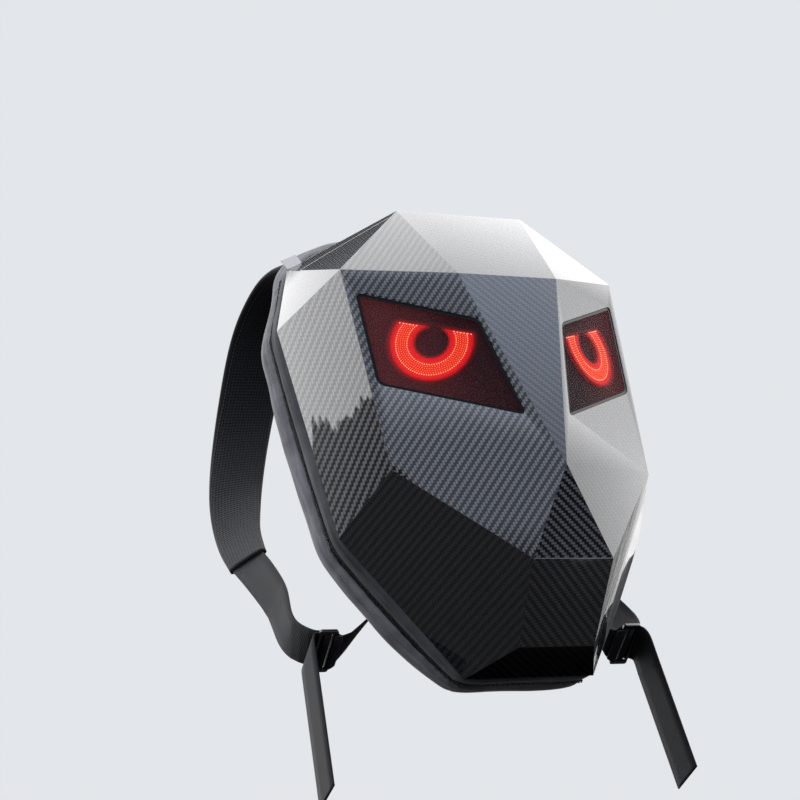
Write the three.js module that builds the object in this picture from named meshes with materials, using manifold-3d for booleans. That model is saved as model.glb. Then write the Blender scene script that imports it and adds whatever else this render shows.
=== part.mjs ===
// Led display backpack, in millimetres, +Z up along the spine.
// The origin is the middle of the back panel's face that lies on the wearer's back.
// +X is the wearer's right and -Y is the way the hard shell looks.
import * as THREE from 'three';
import { ConvexGeometry } from 'three/addons/geometries/ConvexGeometry.js';
import { mergeVertices } from 'three/addons/utils/BufferGeometryUtils.js';
import Module from 'manifold-3d';

const wasm = await Module();
wasm.setup();

// Hard shell
const shellHalfWidth = 163;
const shellDepth = 147;
const shellHeight = 467;
const shellDrop = 11;
const shellWall = 3;

// Eye windows, their lenses and the lit rings behind them
const lensCornerRadius = 7;
const lensRecess = 0.8;
const lensClearance = 0.3;
const housingLip = 1.5;
const housingFlange = 6;
const housingWall = 2;
const ringOuterRadius = 36;
const ringInnerRadius = 14;
const ringClip = 13;
const ringTiltDegrees = 3;
const ringThickness = 2;

// Fabric band between the shell's rim and the back panel
const bandDepth = 45;
const topLean = 22;
const clothWall = 2.5;
const coverBulge = 3;
const zipSeatDepth = 1.5;
const rollHeight = 7.5;
const coilHeight = 2.6;

// Back panel
const panelThickness = 14;
const panelRounding = 4;
const panelInset = 10;
const flangeWidth = 4;

// Shoulder straps
const strapSpacing = 110;
const strapWidth = 66;
const strapEndWidth = 44;
const strapThickness = 12;
const strapReach = 190;
const strapSewnDrop = 62;

// Lower webbing, its slider buckles and their anchor tabs
const webbingWidth = 38;
const webbingThickness = 1.4;
const tailLength = 130;
const buckleOut = 40;
const buckleForward = 22;
const buckleDrop = 20.5;
const buckleBarWidth = 2.5;
const buckleBarThickness = 3;
const buckleSlot = 5;
const buckleSideWidth = 4;
const webbingClearance = 0.4;
const anchorSeamWidth = 8;

// Side label, left blank
const labelWidth = 18;
const labelHeight = 11;
const labelThickness = 0.8;

// Sewn and seated faces stay this far apart
const seamGap = 0.3;

const rimY = -(panelThickness + bandDepth);
const shellMiddle = -shellDrop;
const shellBottom = shellMiddle - shellHeight / 2;

// Corners of the shell's left half, as shares of its half width, depth and height.
// A share left out is found from the flat facets that meet at the corner.
const cornerShares = {
  rimTop: { across: 0.31, out: 0, up: 1 },
  crown: { across: 0.383, out: 0.599, up: 0.911 },
  brow: { across: 0.821, out: 0.626, up: 0.752 },
  ridge: { across: 0.292, out: 0.948, up: 0.679 },
  rimShoulder: { across: 0.862, out: 0, up: 0.898 },
  rimSide: { across: 1, out: 0, up: 0.748 },
  tip: { across: 0, out: 1, up: 0.256 },
  cheek: { across: 0.752, up: 0.331 },
  chin: { across: 0.224, up: 0.102 },
  rimHip: { out: 0, up: 0.288 },
  rimFoot: { out: 0, up: 0 },
  foot: { out: 0.382, up: 0 },
};

// Flat facets of the left half and of the middle; a name with a star is the mirrored corner.
const facets = [
  ['ridge', 'ridge*', 'tip'],
  ['ridge', 'tip', 'chin', 'cheek', 'brow'],
  ['crown', 'ridge', 'brow'],
  ['crown', 'crown*', 'ridge*', 'ridge'],
  ['brow', 'rimShoulder', 'crown'],
  ['crown', 'rimShoulder', 'rimTop'],
  ['crown', 'rimTop', 'rimTop*', 'crown*'],
  ['rimShoulder', 'brow', 'rimSide'],
  ['brow', 'cheek', 'rimHip', 'rimSide'],
  ['cheek', 'chin', 'foot', 'rimFoot', 'rimHip'],
  ['tip', 'chin*', 'chin'],
  ['chin', 'chin*', 'foot*', 'foot'],
  ['foot', 'foot*', 'rimFoot*', 'rimFoot'],
];

// Corners of the left window on its facet: shares of the way from ridge to brow and from ridge to tip.
const lensCorners = [
  { toBrow: 0.976, toTip: 0.13 },
  { toBrow: 0.049, toTip: 0.25 },
  { toBrow: 0.099, toTip: 0.758 },
  { toBrow: 1.204, toTip: 0.63 },
];
const ringCentre = { toBrow: 0.544, toTip: 0.376 };

// Corners of the rim in order, from the top of the left side to the foot of it
const rimOrder = ['rimTop', 'rimShoulder', 'rimSide', 'rimHip', 'rimFoot'];

// How the band behaves along each rim edge, which runs from the named corner to the next one:
// lean is how far its back edge stands outside the rim, as a share of topLean, and puff is
// the share of its full roundness. The last edge runs along the foot to the middle.
const bandRows = [
  { from: 'rimTop', along: 0, lean: 0.95, puff: 1 },
  { from: 'rimTop', along: 0.25, lean: 1.22, puff: 1 },
  { from: 'rimTop', along: 0.5, lean: 1.36, puff: 1 },
  { from: 'rimTop', along: 0.75, lean: 0.95, puff: 0.9 },
  { from: 'rimTop', along: 0.92, lean: 0.35, puff: 0.6 },
  { from: 'rimShoulder', along: 0, lean: 0.04, puff: 0.4 },
  { from: 'rimShoulder', along: 0.35, lean: -0.03, puff: 0.5 },
  { from: 'rimShoulder', along: 0.7, lean: 0.03, puff: 0.7 },
  { from: 'rimSide', along: 0, lean: 0.02, puff: 0.7 },
  { from: 'rimSide', along: 0.1, lean: 0.05, puff: 0.85 },
  { from: 'rimSide', along: 0.25, lean: 0.1, puff: 1 },
  { from: 'rimSide', along: 0.4, lean: 0.14, puff: 1 },
  { from: 'rimSide', along: 0.55, lean: 0.14, puff: 1 },
  { from: 'rimSide', along: 0.7, lean: 0.1, puff: 1 },
  { from: 'rimSide', along: 0.85, lean: 0.04, puff: 0.95 },
  { from: 'rimHip', along: 0, lean: 0.02, puff: 0.9 },
  { from: 'rimHip', along: 0.18, lean: 0.08, puff: 1 },
  { from: 'rimHip', along: 0.38, lean: 0.12, puff: 1 },
  { from: 'rimHip', along: 0.58, lean: 0.08, puff: 1 },
  { from: 'rimHip', along: 0.78, lean: -0.08, puff: 0.8 },
  { from: 'rimHip', along: 0.92, lean: -0.3, puff: 0.6 },
  { from: 'rimFoot', along: 0, lean: -0.5, puff: 0.45 },
  { from: 'rimFoot', along: 0.4, lean: -0.48, puff: 0.6 },
];
const topMiddle = { lean: 1, puff: 1 };
const footMiddle = { lean: -0.46, puff: 0.6 };

// Profiles across the band: back is a share of bandDepth, and out a share of the layer's height
const zipCoverProfile = [
  { out: 0.5, back: 0.06 },
  { out: 1, back: 0.14 },
  { out: 1, back: 0.24 },
  { out: 0.6, back: 0.33 },
  { out: 0, back: 0.365 },
];
const rollProfile = [
  { out: 0.25, back: 0.965 },
  { out: 0.75, back: 0.9 },
  { out: 1, back: 0.79 },
  { out: 1, back: 0.67 },
  { out: 0.75, back: 0.56 },
  { out: 0.3, back: 0.5 },
];
const gussetFront = 0.375;
const coilBase = [0.39, 0.455];
const rollBase = [0.49, 0.84];
const gussetTurn = { inset: 0.3, back: 0.95 };

// Middle line of the left shoulder strap from its sewn top to its lower end.
// down and aside are shares of the way from the top to the buckle, out is a share of strapReach.
const strapRows = [
  { down: 0, aside: 0, out: 0, wide: 0, thick: 0.45, steps: 1 },
  { down: -0.06, aside: 0, out: 0.004, wide: 0, thick: 0.5, steps: 2 },
  { down: -0.13, aside: 0.01, out: 0.035, wide: 0, thick: 0.8, steps: 3 },
  { down: -0.23, aside: 0.06, out: 0.16, wide: 0, thick: 1, steps: 3 },
  { down: -0.29, aside: 0.18, out: 0.42, wide: 0, thick: 1, steps: 4 },
  { down: -0.23, aside: 0.34, out: 0.72, wide: 0.05, thick: 1, steps: 4 },
  { down: -0.02, aside: 0.54, out: 0.96, wide: 0.2, thick: 1, steps: 4 },
  { down: 0.22, aside: 0.78, out: 1, wide: 0.5, thick: 1, steps: 4 },
  { down: 0.42, aside: 0.96, out: 0.87, wide: 0.85, thick: 0.9, steps: 3 },
  { down: 0.56, aside: 1.06, out: 0.68, wide: 1, thick: 0.7, steps: 1 },
];

// Where the lower webbing passes between the strap and the buckle, in the same shares
const webbingRows = [
  { down: 0.66, aside: 1.11, out: 0.5 },
  { down: 0.8, aside: 1.16, out: 0.29 },
  { down: 0.93, aside: 1.22, out: 0.16 },
];

// Where the anchor tab is sewn on, along the rim's edge from hip to foot
const anchorSeat = { from: 'rimHip', along: 0.38, lean: 0.12 };

// A point by its place across, back and up, with across counted to the left
function leftPoint(across, back, up) {
  return new THREE.Vector3(-across, back, up);
}

function mirrored(point) {
  return new THREE.Vector3(-point.x, point.y, point.z);
}

// Moves one coordinate of a point until the point lies on the plane
function slideOnto(plane, point, axis) {
  const off = plane.distanceToPoint(point);
  point[axis] -= off / plane.normal[axis];
  return point;
}

function planeThrough(a, b, c) {
  return new THREE.Plane().setFromCoplanarPoints(a, b, c);
}

// The shell's corners in millimetres, with every facet flat
function makeCorners() {
  const corners = {};
  for (const [name, share] of Object.entries(cornerShares)) {
    corners[name] = leftPoint(
      (share.across ?? 0) * shellHalfWidth,
      rimY - (share.out ?? 0) * shellDepth,
      shellBottom + share.up * shellHeight,
    );
  }
  const eyePlane = planeThrough(corners.brow, corners.ridge, corners.tip);
  slideOnto(eyePlane, corners.cheek, 'y');
  slideOnto(eyePlane, corners.chin, 'y');
  const sidePlane = planeThrough(corners.brow, corners.cheek, corners.rimSide);
  slideOnto(sidePlane, corners.rimHip, 'x');
  const lowPlane = planeThrough(corners.cheek, corners.chin, corners.rimHip);
  slideOnto(lowPlane, corners.rimFoot, 'x');
  slideOnto(lowPlane, corners.foot, 'x');
  return corners;
}

const corners = makeCorners();

function cornerAt(name) {
  return name.endsWith('*') ? mirrored(corners[name.slice(0, -1)]) : corners[name];
}

// All facets of the whole shell as planes that look outwards, each with its corner names
function makeFacetPlanes() {
  const middle = new THREE.Vector3(0, rimY - shellDepth / 2, shellMiddle);
  const swap = (name) => (name.endsWith('*') ? name.slice(0, -1) : `${name}*`);
  const planes = [];
  for (const names of facets) {
    for (const list of [names, names.map(swap)]) {
      const plane = planeThrough(...list.slice(0, 3).map(cornerAt));
      if (plane.distanceToPoint(middle) > 0) plane.negate();
      planes.push({ plane, names: list });
    }
  }
  return planes;
}

const facetPlanes = makeFacetPlanes();

// The point that lies a depth inside every facet that meets at a corner
function innerCorner(point, depth) {
  const walls = facetPlanes
    .filter(({ names }) => names.some((name) => cornerAt(name).distanceTo(point) < seamGap))
    .map(({ plane }) => ({ normal: plane.normal, reach: -plane.constant - depth }));
  if (point.y > rimY - seamGap) walls.push({ normal: new THREE.Vector3(0, 1, 0), reach: rimY });
  const sums = new Array(9).fill(0);
  const right = new THREE.Vector3();
  for (const { normal, reach } of walls) {
    const n = normal.toArray();
    n.forEach((a, row) => n.forEach((b, column) => { sums[row * 3 + column] += a * b; }));
    right.addScaledVector(normal, reach);
  }
  return right.applyMatrix3(new THREE.Matrix3().set(...sums).invert());
}

function bothSides(points) {
  return [...points, ...points.map(mirrored)];
}

// A closed mesh as a solid that can be cut and joined
function toSolid(geometry) {
  const bare = geometry.clone();
  for (const name of Object.keys(bare.attributes)) {
    if (name !== 'position') bare.deleteAttribute(name);
  }
  const merged = mergeVertices(bare, 1e-4);
  const index = merged.index ?? { array: [...Array(merged.attributes.position.count).keys()] };
  return new wasm.Manifold(new wasm.Mesh({
    numProp: 3,
    vertProperties: new Float32Array(merged.attributes.position.array),
    triVerts: new Uint32Array(index.array),
  }));
}

function toGeometry(solid) {
  const mesh = solid.getMesh();
  const geometry = new THREE.BufferGeometry();
  geometry.setAttribute('position', new THREE.BufferAttribute(mesh.vertProperties, 3));
  geometry.setIndex(new THREE.BufferAttribute(mesh.triVerts, 1));
  return geometry;
}

// The same shape on the other side of the middle plane, with its faces still outward
function mirrorGeometry(geometry) {
  const copy = geometry.clone().applyMatrix4(new THREE.Matrix4().makeScale(-1, 1, 1));
  const solid = copy.index ? copy : mergeVertices(copy);
  const order = solid.index.array;
  for (let i = 0; i < order.length; i += 3) {
    [order[i], order[i + 1]] = [order[i + 1], order[i]];
  }
  return solid;
}

// Rows of sections with as many points each become one closed mesh
function skinSections(sections, closedLoop) {
  const count = sections[0].length;
  const index = [];
  const last = closedLoop ? sections.length : sections.length - 1;
  for (let i = 0; i < last; i += 1) {
    const here = i * count;
    const next = ((i + 1) % sections.length) * count;
    for (let j = 0; j < count; j += 1) {
      const k = (j + 1) % count;
      index.push(here + j, next + j, next + k, here + j, next + k, here + k);
    }
  }
  if (!closedLoop) {
    const end = (sections.length - 1) * count;
    for (let j = 1; j < count - 1; j += 1) {
      index.push(0, j, j + 1, end, end + j + 1, end + j);
    }
  }
  const geometry = new THREE.BufferGeometry().setFromPoints(sections.flat());
  geometry.setIndex(index);
  return facingOut(geometry);
}

// Turns a closed mesh the right way round if it holds a negative volume
function facingOut(geometry) {
  const place = geometry.attributes.position;
  const order = geometry.index.array;
  const [a, b, c] = [new THREE.Vector3(), new THREE.Vector3(), new THREE.Vector3()];
  let volume = 0;
  for (let i = 0; i < order.length; i += 3) {
    a.fromBufferAttribute(place, order[i]);
    b.fromBufferAttribute(place, order[i + 1]);
    c.fromBufferAttribute(place, order[i + 2]);
    volume += a.dot(b.cross(c));
  }
  if (volume < 0) {
    for (let i = 0; i < order.length; i += 3) {
      [order[i], order[i + 1]] = [order[i + 1], order[i]];
    }
  }
  return geometry;
}

// The left eye facet's own frame: X towards the brow, Z outwards
const eyeToBrow = corners.brow.clone().sub(corners.ridge);
const eyeToTip = corners.tip.clone().sub(corners.ridge);
const eyeFrame = (() => {
  const x = eyeToBrow.clone().normalize();
  const z = facetPlanes[2].plane.normal;
  return new THREE.Matrix4().makeBasis(x, z.clone().cross(x), z).setPosition(corners.ridge);
})();

function onEyeFacet({ toBrow, toTip }) {
  const place = corners.ridge.clone()
    .addScaledVector(eyeToBrow, toBrow)
    .addScaledVector(eyeToTip, toTip)
    .applyMatrix4(eyeFrame.clone().invert());
  return new THREE.Vector2(place.x, place.y);
}

const lensOutline = lensCorners.map(onEyeFacet);

// A convex outline with every side moved outwards by a distance
function offsetOutline(points, distance) {
  const turn = THREE.ShapeUtils.area(points) > 0 ? 1 : -1;
  const lines = points.map((point, i) => {
    const along = points[(i + 1) % points.length].clone().sub(point).normalize();
    const outward = new THREE.Vector2(along.y, -along.x).multiplyScalar(turn * distance);
    return { start: point.clone().add(outward), along };
  });
  return lines.map((line, i) => {
    const before = lines[(i + lines.length - 1) % lines.length];
    const gap = line.start.clone().sub(before.start);
    const reach = gap.cross(line.along) / before.along.cross(line.along);
    return before.start.clone().addScaledVector(before.along, reach);
  });
}

// An outline with rounded corners
function roundedShape(points, radius) {
  const shape = new THREE.Shape();
  points.forEach((corner, i) => {
    const before = points[(i + points.length - 1) % points.length];
    const after = points[(i + 1) % points.length];
    const start = corner.clone().add(before.clone().sub(corner).setLength(radius));
    const end = corner.clone().add(after.clone().sub(corner).setLength(radius));
    if (i === 0) shape.moveTo(start.x, start.y);
    else shape.lineTo(start.x, start.y);
    shape.quadraticCurveTo(corner.x, corner.y, end.x, end.y);
  });
  shape.closePath();
  return shape;
}

// A flat plate parallel to the eye facet, between two depths below it
function eyePlate(shape, top, bottom) {
  const plate = new THREE.ExtrudeGeometry(shape, {
    depth: bottom - top,
    bevelEnabled: false,
    curveSegments: 5,
  });
  plate.translate(0, 0, -bottom);
  return plate.applyMatrix4(eyeFrame);
}

function lensShape(offset) {
  return roundedShape(offsetOutline(lensOutline, offset), lensCornerRadius);
}

// The space a depth inside the facets, which runs out behind the rim
function makeInside(depth) {
  const points = bothSides(Object.values(corners).map((point) => innerCorner(point, depth)));
  const behind = points
    .filter((point) => point.y > rimY - seamGap)
    .map((point) => point.clone().setY(rimY + shellWall));
  return toSolid(new ConvexGeometry([...points, ...behind]));
}

function makeShell() {
  let shell = toSolid(new ConvexGeometry(bothSides(Object.values(corners))));
  shell = shell.subtract(makeInside(shellWall));
  const window = eyePlate(lensShape(0), -shellWall, 2 * shellWall);
  shell = shell.subtract(toSolid(window));
  return toGeometry(shell.subtract(toSolid(mirrorGeometry(window))));
}

function makeLens() {
  return eyePlate(lensShape(-lensClearance), lensRecess, shellWall);
}

// A shallow tray on the shell's inside behind the window, whose floor carries the lit ring
function makeHousing() {
  const top = shellWall + seamGap;
  const floor = top + ringThickness + seamGap;
  const tray = eyePlate(lensShape(housingFlange), 0, floor + housingWall);
  const hollow = eyePlate(lensShape(-housingLip), -housingWall, floor);
  return toGeometry(toSolid(tray).subtract(toSolid(hollow)).intersect(makeInside(top)));
}

// The lit ring's horseshoe, cut straight nearly along the window's upper edge
function makeRing() {
  const outerStart = Math.asin(ringClip / ringOuterRadius);
  const innerStart = Math.asin(ringClip / ringInnerRadius);
  const shape = new THREE.Shape();
  shape.absarc(0, 0, ringOuterRadius, outerStart, Math.PI - outerStart, true);
  shape.absarc(0, 0, ringInnerRadius, Math.PI - innerStart, innerStart, false);
  shape.closePath();
  const ring = new THREE.ExtrudeGeometry(shape, {
    depth: ringThickness,
    bevelEnabled: false,
    curveSegments: 24,
  });
  const centre = onEyeFacet(ringCentre);
  const upperEdge = lensOutline[1].clone().sub(lensOutline[0]);
  ring.rotateZ(upperEdge.angle() + THREE.MathUtils.degToRad(ringTiltDegrees));
  ring.translate(centre.x, centre.y, -(shellWall + seamGap + ringThickness));
  return ring.applyMatrix4(eyeFrame);
}

// A place on the rim with the way outwards from it and the band's lean and puff there
function rimPlace({ from, along, lean, puff }) {
  const start = corners[from];
  const next = rimOrder[rimOrder.indexOf(from) + 1];
  const end = next ? corners[next] : start.clone().setX(0);
  const point = start.clone().lerp(end, along);
  const outward = new THREE.Vector3(
    point.x / shellHalfWidth ** 2,
    0,
    (point.z - shellMiddle) / (shellHeight / 2) ** 2,
  ).normalize();
  return { point, outward, lean, puff };
}

// Places all round the rim, from the top middle down the left side and up the right
function makeRimPlaces() {
  const top = {
    point: corners.rimTop.clone().setX(0),
    outward: new THREE.Vector3(0, 0, 1),
    ...topMiddle,
  };
  const foot = rimPlace({ from: rimOrder.at(-1), along: 1, ...footMiddle });
  const left = bandRows.map(rimPlace);
  const right = left.map((place) => ({
    ...place,
    point: mirrored(place.point),
    outward: mirrored(place.outward),
  })).reverse();
  return [top, ...left, foot, ...right];
}

const rimPlaces = makeRimPlaces();

// A point of the band: so far outside its leaning wall and so far behind the rim
function bandPoint(place, outside, behind) {
  const lean = place.lean * topLean * Math.min(behind / bandDepth, 1);
  return place.point.clone().addScaledVector(place.outward, outside + lean).setY(rimY + behind);
}

// A closed loop round the rim from a profile of outside and behind in millimetres
function bandLoop(profileOf) {
  return skinSections(rimPlaces.map((place) => (
    profileOf(place).map(([outside, behind]) => bandPoint(place, outside, behind))
  )), true);
}

function makeZipCover() {
  return bandLoop(({ puff }) => {
    const outer = [
      [-seamGap, seamGap],
      ...zipCoverProfile.map(({ out, back }) => [out * puff * coverBulge, back * bandDepth]),
    ];
    return [...outer, ...outer.map(([out, back]) => [out - clothWall, back]).reverse()];
  });
}

// The gusset runs back from the zip and turns in to a flange that carries the back panel
function makeGusset() {
  const outer = [
    ...[gussetFront, ...coilBase, ...rollBase].map((back) => [-zipSeatDepth, back * bandDepth]),
    [-zipSeatDepth - gussetTurn.inset * panelInset, gussetTurn.back * bandDepth],
    [-panelInset, bandDepth - seamGap],
  ];
  const inner = [
    [-panelInset - flangeWidth, bandDepth - seamGap],
    [-panelInset - flangeWidth, bandDepth - seamGap - clothWall],
    [-zipSeatDepth - clothWall, rollBase[1] * bandDepth],
    [-zipSeatDepth - clothWall, gussetFront * bandDepth],
  ];
  return bandLoop(() => [...outer, ...inner]);
}

function makeEdgeRoll() {
  const seat = seamGap - zipSeatDepth;
  return bandLoop(({ puff }) => [
    ...rollBase.map((back) => [seat, back * bandDepth]),
    ...rollProfile.map(({ out, back }) => [seat + out * puff * rollHeight, back * bandDepth]),
  ]);
}

function makeZipCoil() {
  const seat = seamGap - zipSeatDepth;
  const [front, rear] = coilBase.map((back) => back * bandDepth);
  return bandLoop(() => [
    [seat, front],
    [seat, rear],
    [seat + coilHeight * 0.6, rear],
    [seat + coilHeight, (front + rear) / 2],
    [seat + coilHeight * 0.6, front],
  ]);
}

// The panel lies on the gusset's flange
function makeBackPanel() {
  const rings = [
    { inset: panelRounding / 4, behind: bandDepth },
    { inset: 0, behind: bandDepth + panelRounding / 2 },
    { inset: 0, behind: bandDepth + panelThickness - panelRounding },
    { inset: panelRounding, behind: bandDepth + panelThickness },
  ];
  return skinSections(rings.map(({ inset, behind }) => (
    rimPlaces.map((place) => bandPoint(place, -panelInset - inset, behind))
  )), false);
}

// A strip lofted along points: each row has its place, its width axis, width and thickness
function ribbon(rows, softEdge) {
  const path = new THREE.CatmullRomCurve3(rows.map((row) => row.at), false, 'centripetal');
  const last = rows.length - 1;
  const sections = [];
  for (let i = 0; i <= last; i += 1) {
    const a = rows[i];
    const b = rows[Math.min(i + 1, last)];
    const steps = i === last ? 1 : a.steps;
    for (let step = 0; step < steps; step += 1) {
      const share = step / steps;
      const t = Math.min((i + share) / last, 1);
      const tangent = path.getTangent(t);
      const across = a.across.clone().lerp(b.across, share).normalize();
      const normal = tangent.clone().cross(across).normalize();
      const half = THREE.MathUtils.lerp(a.width, b.width, share) / 2;
      const thick = THREE.MathUtils.lerp(a.thick, b.thick, share) / 2;
      const corner = (x, y) => path.getPoint(t).addScaledVector(across, x).addScaledVector(normal, y);
      sections.push(softEdge
        ? [
          corner(-half, -thick * 0.3), corner(thick - half, -thick),
          corner(half - thick, -thick), corner(half, -thick * 0.3),
          corner(half, thick * 0.3), corner(half - thick, thick),
          corner(thick - half, thick), corner(-half, thick * 0.3),
        ]
        : [corner(-half, -thick), corner(half, -thick), corner(half, thick), corner(-half, thick)]);
    }
  }
  return skinSections(sections, false);
}

// The anchor tab's seat on the side of the back panel
const anchorStart = bandPoint(
  rimPlace(anchorSeat),
  2 * seamGap - panelInset,
  bandDepth + panelThickness / 2 - seamGap,
);

// The slider buckle's frame: X along its bars, Y away from the pack, Z down and out
const buckleFrame = (() => {
  const x = new THREE.Vector3(0, -0.93, 0.36).normalize();
  const y = new THREE.Vector3(-1, 0, 0);
  const centre = anchorStart.clone().add(new THREE.Vector3(-buckleOut, buckleForward, -buckleDrop));
  return new THREE.Matrix4().makeBasis(x, y, x.clone().cross(y)).setPosition(centre);
})();
const buckleAcross = new THREE.Vector3().setFromMatrixColumn(buckleFrame, 0);
const barPitch = buckleBarWidth + buckleSlot;

function atBuckle(y, z) {
  return new THREE.Vector3(0, y, z).applyMatrix4(buckleFrame);
}

// Webbing laid round a bar runs this far from the bar's middle
const pastBarFace = buckleBarThickness / 2 + webbingClearance + webbingThickness / 2;
const pastBarEdge = buckleBarWidth / 2 + webbingClearance + webbingThickness / 2;

function webbingRow(at, steps, width = webbingWidth, across = buckleAcross) {
  return { at, across, width, thick: webbingThickness, steps };
}

// A quarter by quarter turn round a bar's edge, from one face to the other:
// along and up are shares of the webbing's distance past the bar's edge and face
const barTurn = [
  { along: 0.5, up: 1 },
  { along: 0.85, up: 0.83 },
  { along: 1, up: 0.38 },
  { along: 1, up: -0.38 },
  { along: 0.85, up: -0.83 },
  { along: 0.5, up: -1 },
];

function roundBar(bar, side, face) {
  return barTurn.map(({ along, up }) => webbingRow(
    atBuckle(bar + side * along * pastBarEdge, face * up * pastBarFace),
    1,
  ));
}

// A tab sewn to the back panel's side that widens and loops round the buckle's near bar
function makeAnchorTab() {
  const bar = -barPitch;
  const plyGap = webbingThickness + webbingClearance;
  const seam = webbingRow(anchorStart, 3, anchorSeamWidth, new THREE.Vector3(0, -1, 0));
  return ribbon([
    seam,
    webbingRow(atBuckle(bar - 3 * pastBarEdge, -plyGap), 3, webbingWidth * 0.8),
    webbingRow(atBuckle(bar - pastBarEdge / 2, -pastBarFace), 1),
    ...roundBar(bar, 1, -1),
    webbingRow(atBuckle(bar - pastBarEdge / 2, pastBarFace), 1),
    webbingRow(atBuckle(bar - 2.6 * pastBarEdge, plyGap / 2), 1, webbingWidth * 0.85),
  ], false);
}

// A flat frame with two slots and so three bars
function makeBuckle() {
  const slotHalf = webbingWidth / 2 + webbingClearance;
  const halfLength = barPitch + buckleBarWidth / 2;
  const halfWidth = slotHalf + buckleSideWidth;
  const frame = new THREE.ExtrudeGeometry(roundedShape([
    new THREE.Vector2(-halfWidth, -halfLength), new THREE.Vector2(halfWidth, -halfLength),
    new THREE.Vector2(halfWidth, halfLength), new THREE.Vector2(-halfWidth, halfLength),
  ], buckleBarWidth), { depth: buckleBarThickness, bevelEnabled: false, curveSegments: 4 });
  frame.translate(0, 0, -buckleBarThickness / 2);
  let buckle = toSolid(frame);
  for (const side of [-1, 1]) {
    const slot = new THREE.BoxGeometry(2 * slotHalf, buckleSlot, 2 * buckleBarThickness);
    buckle = buckle.subtract(toSolid(slot.translate(0, side * barPitch / 2, 0)));
  }
  return toGeometry(buckle).applyMatrix4(buckleFrame);
}

// The strap is sewn flat to the panel's face below its upper edge
const panelTop = corners.rimTop.z + topMiddle.lean * topLean - panelInset;
const strapTop = new THREE.Vector3(-strapSpacing / 2, seamGap + strapThickness / 4, panelTop - strapSewnDrop);
const buckleCentre = new THREE.Vector3().setFromMatrixPosition(buckleFrame);

function alongStrap({ down, aside, out }) {
  return new THREE.Vector3(
    THREE.MathUtils.lerp(strapTop.x, buckleCentre.x, aside),
    strapTop.y + out * strapReach,
    THREE.MathUtils.lerp(strapTop.z, buckleCentre.z, down),
  );
}

// The strap's width runs sideways over the shoulder and turns with the chest
function strapAcross(row) {
  const start = new THREE.Vector3(1, 0, 0);
  const end = new THREE.Vector3(0.55, -0.8, 0.1);
  return start.lerp(end, row.wide ** 2).normalize();
}

function makeShoulderStrap() {
  return ribbon(strapRows.map((row) => ({
    at: alongStrap(row),
    across: strapAcross(row),
    width: THREE.MathUtils.lerp(strapWidth, strapEndWidth, row.wide),
    thick: row.thick * strapThickness,
    steps: row.steps,
  })), true);
}

// Webbing from the strap's end, round the buckle's middle bar, and down as a hanging tail
function makeWebbing() {
  const strapEnd = alongStrap(strapRows.at(-1));
  const beforeEnd = alongStrap(strapRows.at(-2));
  const away = strapEnd.clone().sub(beforeEnd).normalize();
  const start = strapEnd.clone().addScaledVector(away, 2 * seamGap);
  const startAcross = strapAcross(strapRows.at(-1));
  const under = pastBarFace + webbingThickness + webbingClearance;
  const passing = webbingRows.map((row, i) => webbingRow(
    alongStrap(row),
    3,
    webbingWidth,
    startAcross.clone().lerp(buckleAcross, (i + 1) / webbingRows.length),
  ));
  const tailTop = atBuckle(barPitch + 3.4 * pastBarEdge, 1.5 * pastBarFace);
  const fall = new THREE.Vector3(-0.06, 0, -1);
  const tail = [0.12, 0.4, 0.75, 1].map((share) => webbingRow(
    tailTop.clone().addScaledVector(fall, share * tailLength),
    3,
    webbingWidth,
    new THREE.Vector3(0, -1, 0.12),
  ));
  return ribbon([
    webbingRow(start, 3, webbingWidth, startAcross),
    ...passing,
    webbingRow(atBuckle(barPitch + pastBarEdge, -under), 1),
    webbingRow(atBuckle(barPitch / 2, -under), 1),
    webbingRow(atBuckle(pastBarEdge * 0.2, -under), 1),
    webbingRow(atBuckle(-pastBarEdge * 0.7, -1.35 * pastBarFace), 1),
    webbingRow(atBuckle(-pastBarEdge, -0.7 * pastBarFace), 1),
    ...roundBar(0, -1, -1).slice(3),
    ...roundBar(0, 1, 1).slice(0, 4),
    webbingRow(atBuckle(barPitch - pastBarEdge / 2, -pastBarFace), 1),
    webbingRow(atBuckle(barPitch + pastBarEdge, -pastBarFace), 1),
    webbingRow(atBuckle(barPitch + 2.6 * pastBarEdge, -pastBarFace / 2), 1),
    webbingRow(tailTop, 2, webbingWidth, new THREE.Vector3(0, -1, 0.25)),
    ...tail,
  ], false);
}

// A blank folded label that stands out of the seam beside the rim's shoulder
function makeLabel() {
  const from = corners.rimTop;
  const to = corners.rimShoulder;
  const along = to.clone().sub(from).normalize();
  const outward = new THREE.Vector3(along.z, 0, -along.x);
  if (outward.dot(from) < 0) outward.negate();
  const middle = to.clone()
    .addScaledVector(along, -labelWidth * 0.55)
    .addScaledVector(outward, seamGap + labelHeight / 2)
    .setY(rimY - labelThickness / 2);
  const label = new THREE.BoxGeometry(labelWidth, labelHeight, labelThickness);
  const frame = new THREE.Matrix4().makeBasis(along, outward, along.clone().cross(outward));
  return label.applyMatrix4(frame.setPosition(middle));
}

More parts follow.
